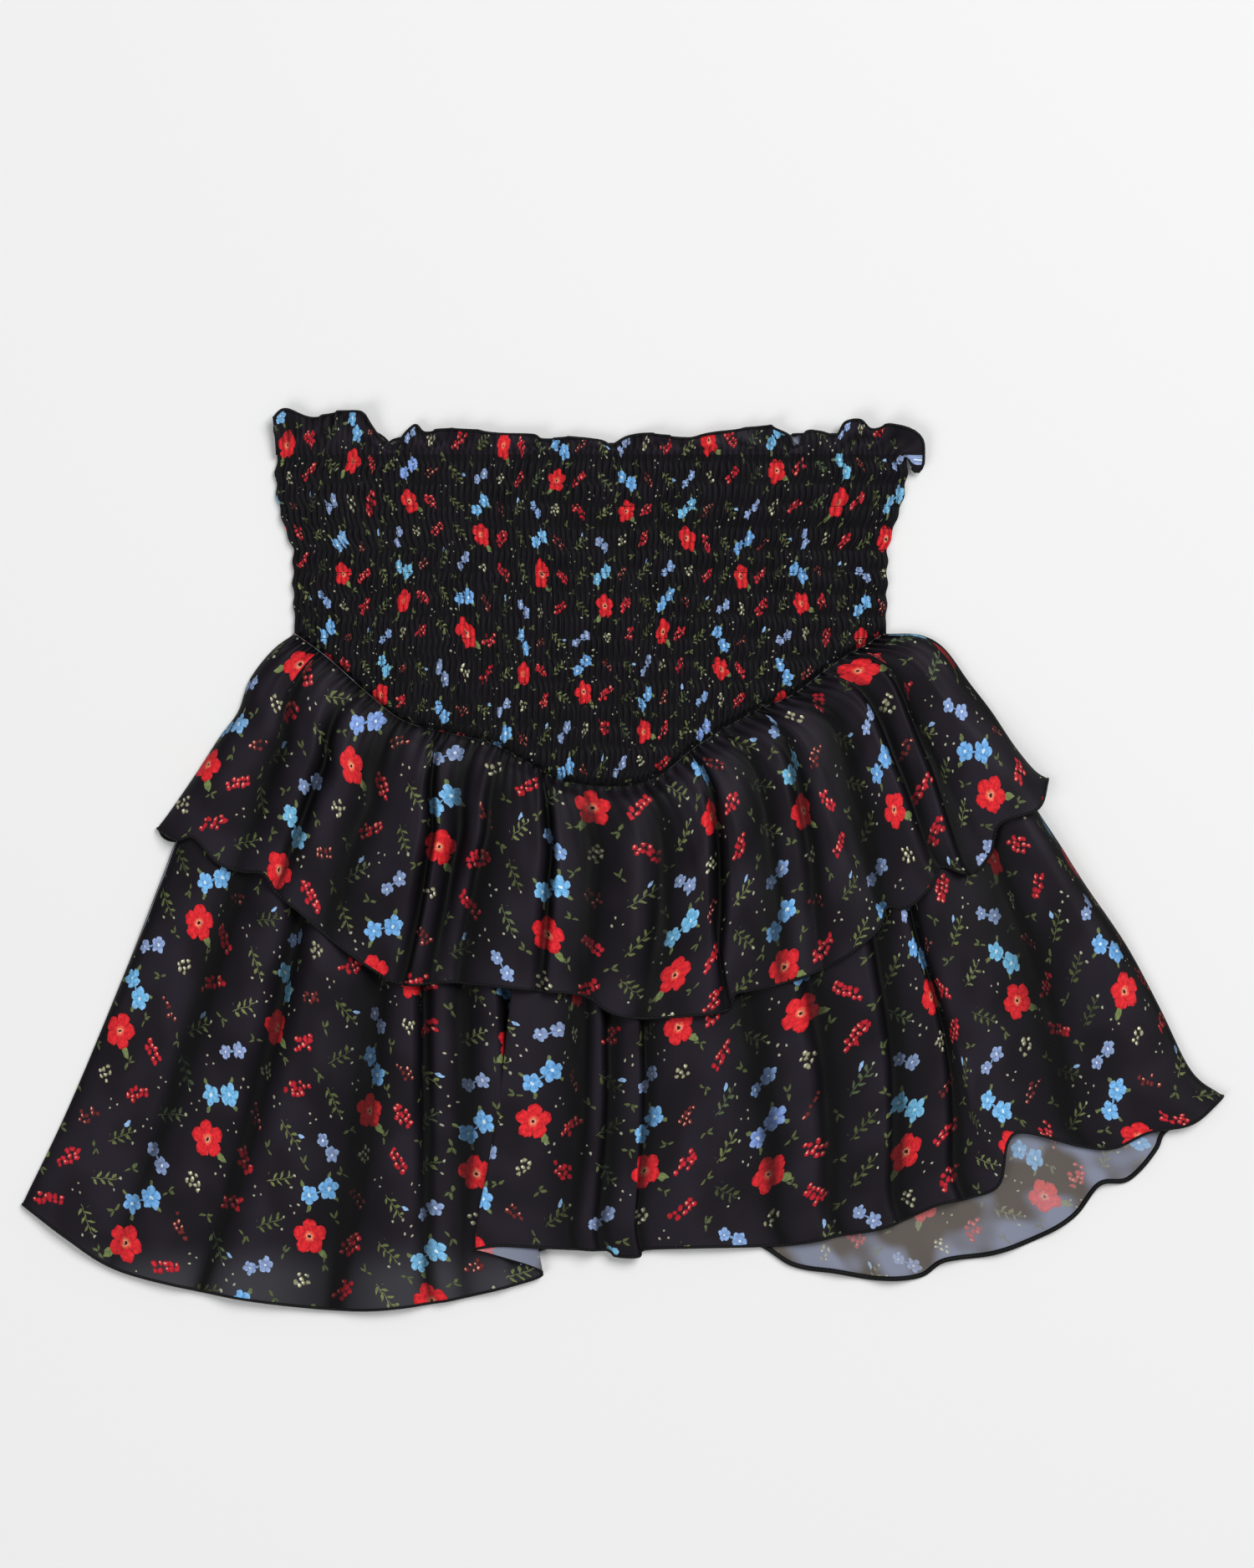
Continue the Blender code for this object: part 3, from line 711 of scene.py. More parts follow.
def redFlowerLayers(node, place, wander):
    # the large red flower, on its own wider lattice, turned as the sites are
    repeat = printSizes["repeat"]
    wide = node(mapping, place)
    wide.node.inputs["Location"].default_value = redFlower["latticeAt"]
    wide.node.inputs["Rotation"].default_value = (0, 0, math.atan2(1.0, 3.0))
    wide.node.inputs["Scale"].default_value = (1000 / repeat,) * 3
    chance = node(whiteNoise, node(vectorFloor, wide))
    middle = node(vectorSubtract, node(vectorFraction, wide), (0.5, 0.5, 0.0))
    local = node(vectorScale, middle, None, None, repeat)
    local = node(vectorAdd, local, wander)
    # two in three turn one way, the rest further
    spin = node(multiplyAdd, chance, 0.9, 0.1)
    spin = node(multiplyAdd, node(greaterThan, chance, 0.68), 1.1, spin)
    turned = node(turnAboutZ, local, None, None, spin)
    x, y, _ = node(splitXYZ, turned).node.outputs
    leafStart = node(vectorSubtract, turned, redFlower["leafFrom"])
    leaf = turnedLeaf(node, leafStart, *redFlower["leaf"])
    mask, share, lobe = petalFlower(node, x, y, redFlower["radius"], redFlower["petals"],
                                    redFlower["depth"])
    tone = node(colourRamp, share)
    setRamp(tone, redFlower["reds"])
    crease = node(mapRange, lobe, 0.0, 0.55, 0.6, 0.0)
    tone = node(mix, crease, tone, hexColour(redFlower["crease"]))
    return [(leaf, hexColour(redFlower["leafColour"])), (mask, tone)]


def flowerPrint():
    # the small flower print, in flat-cut metres: colour and coverage
    tree = bpy.data.node_groups.new("smallFlowerPrint", "ShaderNodeTree")
    node = nodeMaker(tree)
    face = tree.interface
    face.new_socket("Place", in_out="INPUT", socket_type="NodeSocketVector")
    face.new_socket("Colour", in_out="OUTPUT", socket_type="NodeSocketColor")
    face.new_socket("Cover", in_out="OUTPUT", socket_type="NodeSocketFloat")
    place = tree.nodes.new("NodeGroupInput").outputs[0]
    # the drawing is by brush, so its edges wander by a few tenths of a millimetre
    wander = node(softPatches, place, None, 320.0, 1.0, out=1)
    wander = node(vectorSubtract, wander, (0.5, 0.5, 0.5))
    wander = node(vectorMultiply, wander, (printSizes["wander"], printSizes["wander"], 0.0))
    motif = motifSites(node, place, wander)
    layers = [
        *sprigLayers(node, motif),
        *pairLayers(node, motif),
        *berryLayers(node, motif),
        *cornerLayers(node, motif, wander),
        *redFlowerLayers(node, place, wander),
    ]
    colour = hexColour("000000")
    cover = 0.0
    for mask, tone in layers:
        colour = node(mix, mask, colour, tone)
        cover = node(most, cover, mask)
    # brush marks: each printed tone wanders a little
    marks = node(softPatches, place, None, 650.0, 2.0)
    shade = node(mapRange, marks, 0.3, 0.7, 0.78, 1.32)
    colour = node(vectorScale, colour, None, None, shade)
    group = tree.nodes.new("NodeGroupOutput")
    tree.links.new(colour, group.inputs[0])
    tree.links.new(cover, group.inputs[1])
    return tree


def newMaterial(name):
    material = bpy.data.materials.new(name)
    material.use_nodes = True
    tree = material.node_tree
    return material, tree, tree.nodes["Principled BSDF"]


# pitch and depth are in millimetres
satinWeave = {"pitch": 1.674, "distortion": 1.5, "strength": 0.12, "depth": 0.12}
# the grey of painted light, the pale tone of washed-out ink, and the near black of painted valley
# shade
clothShade = {"oneLayerPaintedLight": "3c3b41", "washed": "b9b2ae", "valley": "020204"}


def printedCloth(name, look, printTree):
    material, tree, shader = newMaterial(name)
    node = nodeMaker(tree)
    place = node(("UVMap", {"uv_map": "flatCut"}))
    group = node(("Group", {"node_tree": printTree}), place)
    colour, cover = group.node.outputs[0], group.node.outputs[1]
    # uneven dye and the hand of the cloth, in patches of about 30 mm
    patch = node(softPatches, place, None, 34.0, 1.0)
    patch = node(smoothRange, patch, 0.5 - look["spread"], 0.5 + look["spread"])
    groundTone = node(mix, patch, hexColour(look["dark"]), hexColour(look["light"]))
    if look["washed"]:
        # ink shows through the back only in part
        colour = node(mix, look["washed"], colour, hexColour(clothShade["washed"]))
        cover = node(multiply, cover, 0.8)
    else:
        # painted light: the ground is painted a lighter grey where one sheer layer lies over the
        # white table, and where the frill turns over
        thin = node(("Attribute", {"attribute_name": "oneLayerPaintedLight"}), out=2)
        thin = node(multiply, thin, 0.95)
        groundTone = node(mix, thin, groundTone, hexColour(clothShade["oneLayerPaintedLight"]))
    # painted shade: valleys between folds are painted darker, and the bottoms of tight gathers are
    # painted near black, over the print as well
    valleyShadeTone = hexColour(clothShade["valley"])
    hollowShade = node(("Attribute", {"attribute_name": "hollowShade"}), out=2)
    shade = node(multiply, hollowShade, 0.92)
    groundTone = node(mix, shade, groundTone, valleyShadeTone)
    base = node(mix, cover, groundTone, colour)
    deep = node(multiply, node(power, hollowShade, 2.2), 0.85)
    base = node(mix, deep, base, valleyShadeTone)
    tree.links.new(base, shader.inputs["Base Color"])
    shader.inputs["Roughness"].default_value = look["roughness"]
    shader.inputs["Sheen Weight"].default_value = look["sheen"]
    shader.inputs["Sheen Roughness"].default_value = 0.4
    shader.inputs["Specular IOR Level"].default_value = 0.13
    # the floats of the satin are 0.3 mm wide, and drawn 1.7 mm apart so that they show; a
    # diagonal wave of scale 1 repeats every 2 pi / (10 * sqrt 2) of its map
    floats = 1000 * 2 * math.pi / (10 * math.sqrt(2) * satinWeave["pitch"])
    threads = node(diagonalWave, place, floats, satinWeave["distortion"])
    grain = node(softPatches, place, None, 900.0, 2.0)
    weave = node(add, threads, grain)
    bump = node(bumpMap, satinWeave["strength"], satinWeave["depth"] * mm, None, weave)
    tree.links.new(bump, shader.inputs["Normal"])
    return material


print("helpers ready")

yoke = {
    "top": 180.0,
    "firstRow": 176.7,  # height of the first row of elastic
    "rowPitch": 9.8,  # to the next row
    "elasticRows": 15,
    "puckers": 108,
    "relief": 2.1,
    "scallop": 0.8,  # how far a row of elastic draws the side edges in
    "swell": 0.45,  # slow rise and fall of the smocking
    "pinch": 0.42,  # share of a pucker's height that is left at a row of elastic
    "unevenness": 0.29,
    "shown": 0.55,  # share of the cloth that a crest shows, where the rest is drawn in
    "rowHold": 0.18,  # puckers change over this share of the pitch beside a row of elastic
    "printDraw": (1.2, 1.38),  # the puffs take up cloth and print, across and down
    "flatWidth": 0.50,
    "clothThickness": 0.3,  # thin, so that the puckers stay crisp
    "columnsPerPucker": 4,
}

frontYokeSizes = {
    "floor": 1.5,
    "wall": 1.1,
    "rows": 104,
    "runUnder": 2.0,  # how far it runs on below the seam
    "seamTop": 1.9,  # height of its lower edge, under the flounce
    "seamReach": 3.5,  # it starts to dip this far above the seam
    "sideLow": 1.6,  # its sides turn down to this height
    "sideWidth": 4.0,
    "seed": 3,
}

backYokeSizes = {"depth": 1.65, "rows": 90, "runUnder": 1.0, "seed": 31}

yokeSides = [
    # y, left, right
    (180, -154, 127),
    (172, -155, 127),
    (160, -154, 125),
    (148, -151, 121),
    (138, -147, 118),
    (122, -147, 118),
    (101, -146, 117),
]


def yokeSide(y, side):
    heights = [row[0] for row in reversed(yokeSides)]
    edges = [row[1 + side] for row in reversed(yokeSides)]
    return np.interp(y, heights, edges)


def printDrift(s, y, seed):
    # the print wanders slowly across the smocking, as no two pleats take up the same cloth
    return 0.006 * softNoise(s * 9, y / 32, seed + 7)


def smockedPoints(s, y, seed):
    # outer height of the smocking, its flat-cut place and the painted shade of its hollows
    rowPhase = (yoke["firstRow"] - y) / yoke["rowPitch"]
    hold = yoke["rowHold"]
    band = np.floor(rowPhase + hold)
    blend = ease((rowPhase + hold - band) / (2 * hold))
    run = s * yoke["puckers"]
    # between two rows of elastic the puckers stand apart from those above and below
    above = softNoise(run / 5.0, band * 5.37 - 5.37, seed)
    below = softNoise(run / 5.0, band * 5.37, seed)
    drift = 0.5 * (above + (below - above) * blend)
    drift = drift + 0.22 * softNoise(run / 2.2, rowPhase * 2.1, seed + 4)
    phase = run + drift
    index = np.floor(phase)
    q = phase - index
    crest = 1.0 - np.abs(2.0 * q - 1.0) ** 1.8
    between = yoke["pinch"] + (1 - yoke["pinch"]) * np.abs(np.sin(np.pi * rowPhase)) ** 0.6
    wobble = softNoise(index * 0.83, rowPhase * 0.71, seed + 1)
    uneven = 1 - yoke["unevenness"] + yoke["unevenness"] * wobble
    height = yoke["relief"] * crest * between * uneven
    turn = 2 * q - 1
    seen = yoke["shown"]
    hidden = 0.5 * np.sign(turn) * np.abs(turn) ** 4
    step = yoke["flatWidth"] / yoke["puckers"]
    drawAcross, drawDown = yoke["printDraw"]
    u = step * (index + 0.5 + seen * 0.5 * turn + (1 - seen) * hidden - drift)
    v = -(yoke["top"] - y) * mm
    # each pucker draws the cloth in a little more or less than the next one
    u = u + 0.0009 * softNoise(index * 0.93, rowPhase * 0.6, seed + 5)
    v = v + 0.0012 * softNoise(index * 0.97, rowPhase * 0.5, seed + 6)
    u = u + printDrift(s, y, seed)
    v = v + 0.005 * softNoise(s * 8, y / 35, seed + 8)
    # painted shade: between puckers, beside the rows of elastic and on the lower puckers
    hollowShade = np.abs(turn) ** 1.6 + 0.3 * (1 - between) + 0.5 * (0.7 - uneven)
    return height, u * drawAcross, v * drawDown, np.clip(hollowShade, 0.0, 1.0)


seamLine = smoothLine(seamTable)


def seamHeight(s):
    ends = seamLine["walk"][0, 0], seamLine["walk"][-1, 0]
    x = ends[0] + (ends[1] - ends[0]) * s
    return x, np.interp(x, seamLine["walk"][:, 0], seamLine["walk"][:, 1])


def yokeX(s, y, seamX, share):
    phase = (yoke["firstRow"] - y) / yoke["rowPitch"]
    drawn = yoke["scallop"] * (0.5 + 0.5 * np.cos(2 * np.pi * phase))
    left = yokeSide(y, 0) + drawn
    right = yokeSide(y, 1) - drawn
    straight = left + (right - left) * s
    return straight + (seamX - straight) * ease((share - 0.8) / 0.2)


def yokeSwell(x, y, share, seed):
    # none at the frill and at the seam
    wave = softNoise(x / 26, y / 18, seed + 2)
    return yoke["swell"] * wave * ease(share * 6) * ease((1 - share) * 6)


def smockedGrid(sizes):
    # the smocked yoke down to its seam and a little further
    s, share = sharesGrid(yoke["puckers"] * yoke["columnsPerPucker"], sizes["rows"])
    seamX, seamY = seamHeight(s)
    y = yoke["top"] - share * (yoke["top"] - seamY + sizes["runUnder"])
    height, u, v, hollowShade = smockedPoints(s, y, sizes["seed"])
    x = yokeX(s, y, seamX, share)
    # painted shade: a dark band along the seam
    hollowShade = np.clip(hollowShade + 0.9 * np.exp(-np.abs(y - seamY) / 2.0), 0.0, 1.0)
    return x, y, share, height, u, v, hollowShade


def elasticLines():
    # the rows of elastic thread, in the valleys of the front smocking
    lines = []
    floor = frontYokeSizes["floor"] + frontYokeSizes["wall"]
    for row in range(yoke["elasticRows"]):
        y = yoke["firstRow"] - row * yoke["rowPitch"]
        s = np.linspace(0.004, 0.996, 540)
        seamX, seamY = seamHeight(s)
        held = seamY < y - 1.5
        s, seamX, seamY = s[held], seamX[held], seamY[held]
        level = np.full(len(s), y)
        height, *_ = smockedPoints(s, level, frontYokeSizes["seed"])
        share = (yoke["top"] - y) / (yoke["top"] - seamY)
        x = yokeX(s, level, seamX, share)
        swell = yokeSwell(x, y, share, frontYokeSizes["seed"])
        lines.append(np.column_stack([x, level, floor + height + swell + 0.05]))
    return lines


heading = {
    "columns": 432,
    "rows": 16,
    "waves": 19,
    "fullHeight": 14.0,  # a frill this high stands up fully
    "ends": (0.03, 0.96),  # outside these shares the frill hangs over the sides
}

frontHeadingSizes = {
    "edge": [
        (-154, 196), (-149, 200), (-138, 196), (-125, 199), (-115, 198), (-111, 193),
        (-107, 186), (-102, 184), (-97, 190), (-92, 193), (-88, 189.5), (-79, 191),
        (-66, 190.5), (-55, 189), (-41, 188.5), (-34, 186.5), (-23, 187.5), (-11, 186),
        (-4, 184), (3, 188), (12, 189), (28, 187), (39, 189), (60, 192), (67, 192),
        (73, 188), (75, 183.5), (80, 184.5), (82.5, 190), (88, 190), (94, 188.5),
        (98, 194), (106, 195), (111.5, 191), (117, 193), (126, 192), (131, 188),
        (134, 181), (134.5, 175.5), (131.5, 172), (128.5, 174),
    ],
    "rootFloor": frontYokeSizes["floor"] + frontYokeSizes["wall"],
    "rootRelief": 1.0,
    "floor": 3.1,
    "lift": 5.0,
    "swing": 1.1,
    "seed": 47,
    "yokeSeed": frontYokeSizes["seed"],
}

backHeadingSizes = {
    "edge": [
        (-153, 192), (-137, 193), (-115, 192), (-104, 183), (-95, 188), (-60, 187),
        (-20, 185), (20, 185), (60, 187), (78, 189), (95, 189), (112, 188), (124, 186),
        (128, 181),
    ],
    "rootFloor": 1.5,
    "rootRelief": -0.71,  # its puckers stand downwards
    "floor": 0.5,
    "lift": 3.2,
    "swing": 3.0,
    "edgeRadius": 0.6,
    "edgeRaised": 0.2,
    "seed": 41,
    "yokeSeed": backYokeSizes["seed"],
}


def frilledHeading(sizes):
    # the frill above the first elastic row: its cut edge is the first row of points, and
    # its last row carries on the puckers of the yoke
    seed, yokeSeed = sizes["seed"], sizes["yokeSeed"]
    rootY = yoke["top"] - 0.2
    ends = yokeX(np.array([0.0, 1.0]), rootY, 0.0, 0.0)
    s, down = sharesGrid(heading["columns"], heading["rows"])
    # the cut edge keeps abreast of the root, so that the print stands upright; only its
    # two ends hang over
    first, last = heading["ends"]
    line = smoothLine(sizes["edge"])
    inner = np.array([shareAtX(line, ends[0] + (ends[1] - ends[0]) * place)
                      for place in np.clip(s[:, 0], first, last)])[:, None]
    share = (inner * np.minimum(s / first, 1.0)
             + (1 - inner) * np.clip((s - last) / (1 - last), 0.0, 1.0))
    cut = lineAt(line, share)
    root = np.stack([ends[0] + (ends[1] - ends[0]) * s, np.full(s.shape, rootY)], axis=-1)
    flat = cut + (root - cut) * down[..., None]
    up = 1.0 - down
    rootHeight, rootU, rootV, rootHollowShade = smockedPoints(s, np.full(s.shape, rootY), yokeSeed)
    turn = 2 * np.pi * (heading["waves"] * s + 0.9 * softNoise(s * 17, up * 1.2, seed))
    wave = 0.5 + 0.36 * np.sin(turn) + 0.25 * softNoise(s * 41, up * 2, seed + 1)
    stands = np.clip((cut[:, :1, 1] - rootY) / heading["fullHeight"], 0.2, 1.0)
    fading = np.exp(-up / 0.8)
    height = sizes["rootFloor"] + (sizes["floor"] - sizes["rootFloor"]) * ease(up / 0.3)
    height = height + sizes["rootRelief"] * rootHeight * fading
    height = height - 0.12 * np.exp(-up / 0.05) + sizes["lift"] * stands * wave * up ** 1.4
    # ruffles sway sideways as they rise
    sway = sizes["swing"] * np.cos(turn) * up ** 1.5
    points = np.stack([flat[..., 0] + sway, flat[..., 1], height], axis=-1)
    evenU = (s * yoke["flatWidth"] + printDrift(s, rootY, yokeSeed)) * yoke["printDraw"][0]
    u = rootU + (evenU - rootU) * ease(up / 0.7)
    v = rootV + up * (cut[:, :1, 1] - rootY) * mm * 1.25
    # painted shade: the yoke's painted shade carries on into the root, and the troughs of the
    # ruffles are painted darker
    hollowShade = np.clip(rootHollowShade * fading + 1.1 * (0.55 - wave) * ease(up / 0.4), 0.0, 1.0)
    return points, u, v, hollowShade


camera = {
    "pixel": 0.372,  # millimetres of the skirt for each pixel of the picture
    "origin": (745, 1028),  # pixel that shows the middle of the skirt
    "picture": (1500, 1875),
    "away": 2.4,
    "sensor": 36.0,
}
wide, tall = camera["picture"]
picture = bpy.data.cameras.new("camera")
cameraObject = bpy.data.objects.new("camera", picture)
bpy.context.scene.collection.objects.link(cameraObject)
cameraObject.location = ((wide / 2 - camera["origin"][0]) * camera["pixel"] * mm,
                         (camera["origin"][1] - tall / 2) * camera["pixel"] * mm,
                         camera["away"])
picture.sensor_width = camera["sensor"]
picture.lens = camera["sensor"] * camera["away"] / (tall * camera["pixel"] * mm)
picture.clip_start = 0.1
bpy.context.scene.camera = cameraObject
bpy.context.scene.view_settings.view_transform = "Standard"

for obj in bpy.context.selected_objects:
    obj.select_set(False)
bpy.ops.mesh.primitive_plane_add(size=6.0, location=(0, 0, -0.0004))
floor = bpy.context.object
floor.name = "paleTable"
# paint put on by roller: an even matt white
paint, _, paintShader = newMaterial("whitePaintedBoard")
paintShader.inputs["Base Color"].default_value = hexColour("f3f3f2")
paintShader.inputs["Roughness"].default_value = 0.8
paintShader.inputs["Specular IOR Level"].default_value = 0.2
floor.data.materials.append(paint)

studio = {
    # place, size, power in watts
    "window": ((1.9, 2.0, 3.6), 2.4, 147.0),
    "bounce": ((-2.6, -2.4, 3.2), 2.4, 66.0),
}
for name, (place, size, watts) in studio.items():
    lamp = bpy.data.lights.new(name, "AREA")
    lamp.shape = "SQUARE"
    lamp.size = size
    lamp.energy = watts
    holder = bpy.data.objects.new(name, lamp)
    bpy.context.scene.collection.objects.link(holder)
    holder.location = place
    aim = -holder.location
    holder.rotation_euler = aim.to_track_quat("-Z", "Y").to_euler()
world = bpy.data.worlds.new("softRoom")
bpy.context.scene.world = world
world.use_nodes = True
backdrop = world.node_tree.nodes["Background"]
backdrop.inputs["Color"].default_value = hexColour("fbfcff")
backdrop.inputs["Strength"].default_value = 0.28
print("camera and light ready")

# colours of the ground, how soft its patches are, and how far the print is washed out
satinLook = {"dark": "18131a", "light": "231d27", "spread": 0.18, "washed": 0.0,
             "roughness": 0.58, "sheen": 0.02}
# painted shade: the smocked ground is painted darker than the flat satin
smockedShadedLook = {"dark": "0c090e", "light": "120d15", "spread": 0.18, "washed": 0.0,
               "roughness": 0.6, "sheen": 0.0}
wrongSideLook = {"dark": "625b56", "light": "83889a", "spread": 0.1, "washed": 0.3,
                 "roughness": 0.75, "sheen": 0.1}
# the map step and the depth of its stitches are in millimetres
threadLook = {"colour": "09090c", "roughness": 0.62, "specular": 0.2, "mapStep": 0.9,
              "waveScale": 0.32, "distortion": 0.6, "strength": 0.5, "depth": 0.3}

printTree = flowerPrint()
# polyester satin, woven and printed: near black with a soft bloom on the crests
satin = printedCloth("printedPolyesterSatin", satinLook, printTree)
# the same satin drawn up on elastic, with painted shade: its ground is painted darker for the shade
# among its many small crests, which also look duller
smocked = printedCloth("smockedPolyesterSatinPaintedShade", smockedShadedLook, printTree)
# the wrong side of the satin: dull and greyed, with the ink showing through
wrongSide = printedCloth("satinWrongSide", wrongSideLook, printTree)
# overlocked in textured polyester thread: matt black, with slanting stitches 1.8 mm apart,
# as a diagonal wave repeats every 2 pi / (10 * its scale) steps of its map
thread, threadTree, threadShader = newMaterial("overlockedBlackThread")
threadShader.inputs["Base Color"].default_value = hexColour(threadLook["colour"])
threadShader.inputs["Roughness"].default_value = threadLook["roughness"]
threadShader.inputs["Specular IOR Level"].default_value = threadLook["specular"]
threadNode = nodeMaker(threadTree)
threadRun = threadNode(mapping, threadNode(("UVMap", {"uv_map": "alongThread"})))
threadRun.node.inputs["Scale"].default_value = (1000 / threadLook["mapStep"], 1.0, 1.0)
ridges = threadNode(diagonalWave, threadRun, threadLook["waveScale"], threadLook["distortion"])
threadBump = threadNode(bumpMap, threadLook["strength"], threadLook["depth"] * mm, None, ridges)
threadTree.links.new(threadBump, threadShader.inputs["Normal"])
cloth = [satin, wrongSide, thread]
smockedCloth = [smocked, wrongSide, thread]
print("materials ready")

longTier = {
    "hem": [
        # x, y, lift where the gathers lie over each other at the hem
        (-267, -153, 0), (-247, -168, 0), (-227, -181, 0), (-199, -189, 0),
        (-162, -196, 0), (-119, -200, 0), (-86, -197, 0), (-61, -192, 0),
        (-39, -186, 0.2), (-36, -183, 0.8), (-41, -180, 1.5), (-54, -176, 2.2),
        (-63, -173.4, 2.6), (-66, -173, 3.3), (-63, -172, 3.6), (-54, -171, 3.6),
        (-36, -172, 3.2), (-13, -173, 2.4), (-6, -173.3, 1.8), (-3.5, -175.8, 1.0),
        (7, -176, 0.4), (10, -173, 0.2), (32, -172, 0), (73, -171, 0), (95, -167, 0),
        (117, -163, 0), (140, -153, 0), (154, -150, 0), (167, -144, 0), (171, -125, 0),
        (179, -121, 0), (203, -127, 0), (218, -128, 0), (234, -121, 0), (253, -117, 0.5),
        (267, -105, 2),
    ],
    "left": [
        # x, y from the seam to the hem
        (-146, 101), (-166, 66), (-195, 16), (-205, -8), (-221, -49), (-246, -109),
        (-267, -153),
    ],
    "right": [
        (117, 101), (140, 70), (167, 46), (191, 12), (205, -10), (224, -38),
        (239, -66), (253, -94), (267, -105),
    ],
    "folds": [
        # valley at the seam x, at the hem x, bow to the right; height of the fold to
        # the right of it at the seam, half way and at the hem; its lean, 1 is to the right
        (-146, -267, 0, 0.8, 2.5, 1.2, 0.2),
        (-128, -228, 0, 1.2, 5.4, 1.8, 0.5),
        (-110, -188, 0, 1.2, 7.0, 3.0, -0.6),
        (-90, -128, 2, 1.2, 6.8, 3.0, 0.7),
        (-76, -84, -6, 1.2, 4.6, 1.6, -0.4),
        (-65, -70, -2, 1.4, 7.2, 1.6, 0.6),
        (-53, -47, 0, 1.2, 2.6, 1.2, 0.0),
        (-14.5, -22, 0, 1.4, 5.2, 3.0, 0.4),
        (-6, -9, 0, 1.4, 6.4, 3.4, 1.0),
        (6, 8, 0, 1.4, 4.4, 1.8, -0.2),
        (31, 71, 0, 1.4, 6.2, 2.8, 0.5),
        (52, 96, 0, 1.2, 6.2, 3.0, 0.9),
        (74, 124, 3, 1.2, 6.8, 3.6, 0.9),
        (90, 152, 0, 1.2, 6.0, 3.0, -0.6),
        (104, 206, 6, 1.0, 4.6, 2.4, 0.5),
    ],
    "rows": 96,
    "columnPitch": 1.5,
    "flatWidth": 0.64,
    "seamRipple": 0.5,
    "valley": 4.0,  # half the width of the shade in a valley
    "deep": 4.0,  # folds this high leave their valleys dark
    "seamShade": 1.6,  # how far the shade of the seam reaches, in hundredths of the drop
    "crumple": 0.6,
    "floor": 4.1,  # height between the folds, where it lies over the back flounce
    "floorDrop": 1.5,  # it lies lower where the back flounce ends
    "dropStart": 0.61,
    "dropSpan": 0.13,
    "seamTop": 1.9,
    "seamReach": 0.09,
    "sideLow": 1.0,  # the sides turn down to this height
    "seed": 11,
}

shortFlounce = {
    "hem": [
        (-207, 14, 0), (-198, 9, 0), (-190, 10, 0), (-180, -1, 0), (-169, -5, 0),
        (-159, -6, 0), (-154, -14, 0), (-143, -23, 0), (-128, -36, 0), (-110, -49, 0),
        (-97, -55, 0), (-76, -54, 0), (-54, -56, 0), (-35, -58, 0), (-17, -60, 0),
        (-6, -67, 0), (7, -70, 0), (28, -69, 0), (45, -67, 0), (48.5, -63, 0),
        (50, -59, 0.3), (58, -57.5, 0.5), (76, -53, 0.3), (95, -45, 0), (113, -31, 0),
        (117, -21, 0), (126, -21, 0), (136, -12, 0), (141, -3, 0), (154, -6, 0),
        (163, 3, 0), (167, 16, 0), (184, 23, 0.6), (189, 36, 1.6),
    ],
    "left": [
        (-146, 101), (-156, 93), (-166, 80), (-171, 66), (-179, 55), (-190, 38),
        (-201, 22), (-207, 14),
    ],
    "right": [
        (117, 101), (132, 100), (143, 94), (154, 79), (164, 66), (174, 51), (183, 40),
        (189, 36),
    ],
    "folds": [
        (-146, -207, 0, 0.8, 2.6, 1.2, 0.3),
        (-134, -172, 0, 1.2, 6.4, 2.2, 0.5),
        (-118, -154, 0, 1.4, 6.6, 3.0, -0.5),
        (-98, -131, -3, 1.4, 7.2, 3.4, 0.9),
        (-81, -97, 4, 1.4, 6.6, 3.2, -0.8),
        (-66, -85, 0, 1.2, 4.2, 1.8, 0.3),
        (-52, -72, -4, 1.4, 7.4, 3.2, 0.9),
        (-34, -36, 0, 1.4, 6.6, 3.2, -0.9),
        (-16, -17, 0, 1.4, 5.2, 2.8, 0.3),
        (12, 8, 2, 1.4, 6.2, 3.2, 0.8),
        (31, 46, 0, 1.4, 7.2, 3.2, -0.9),
        (46, 72, 0, 1.2, 4.8, 2.0, 0.3),
        (60, 90, 0, 1.2, 5.2, 2.4, -0.4),
        (77, 116, 0, 1.2, 6.8, 3.4, 0.9),
        (90, 141, 0, 1.0, 5.4, 2.8, 0.8),
        (102, 154, 0, 1.0, 4.6, 2.4, 0.3),
    ],
    "rows": 72,
    "columnPitch": 1.3,
    "flatWidth": 0.50,
    "seamRipple": 2.2,
    "valley": 3.6,  # half the width of the shade in a valley
    "deep": 4.5,  # folds this high leave their valleys dark
    "seamShade": 1.6,  # how far the shade of the seam reaches, in hundredths of the drop
    "crumple": 0.55,
    "bareHeight": 1.5,  # it starts from this height where no tier lies below
    "reach": 7.0,  # it bridges the valleys of the tier over this distance
    "gap": 0.35,  # to the tier below
    "seamTop": 2.4,
    "seamReach": 0.12,
    "sideLow": 1.2,
    "printShift": 0.046,
    "seed": 23,
}

# the side edges of the front are those of the back, and all start at the seam
seamBelow = lowered(seamTable, 0.5)


def sideEdges(part):
    return {"left": [seamBelow[0]] + part["left"][1:], "right": [seamBelow[-1]] + part["right"][1:]}


tierSides = sideEdges(longTier)
flounceSides = sideEdges(shortFlounce)


def backPanel(part, edges, inset=0.4):
    # a back panel lies right side down on the table, with small creases
    panel = makePanel(seamBelow, part["hem"], edges["left"], edges["right"])
    s, down = sharesGrid(part["columns"], part["rows"])
    flat = placeOn(panel, s, down)
    flat[..., 0] += inset * (1 - 2 * s)
    height, across, along = part["creases"]
    crease = height * (1 + softNoise(s * across, down * along, part["seed"]))
    crumple = softNoise(flat[..., 0] / 12, flat[..., 1] / 20, part["seed"] + 1)
    return flat, s, down, crease + 0.12 * (1 + crumple)


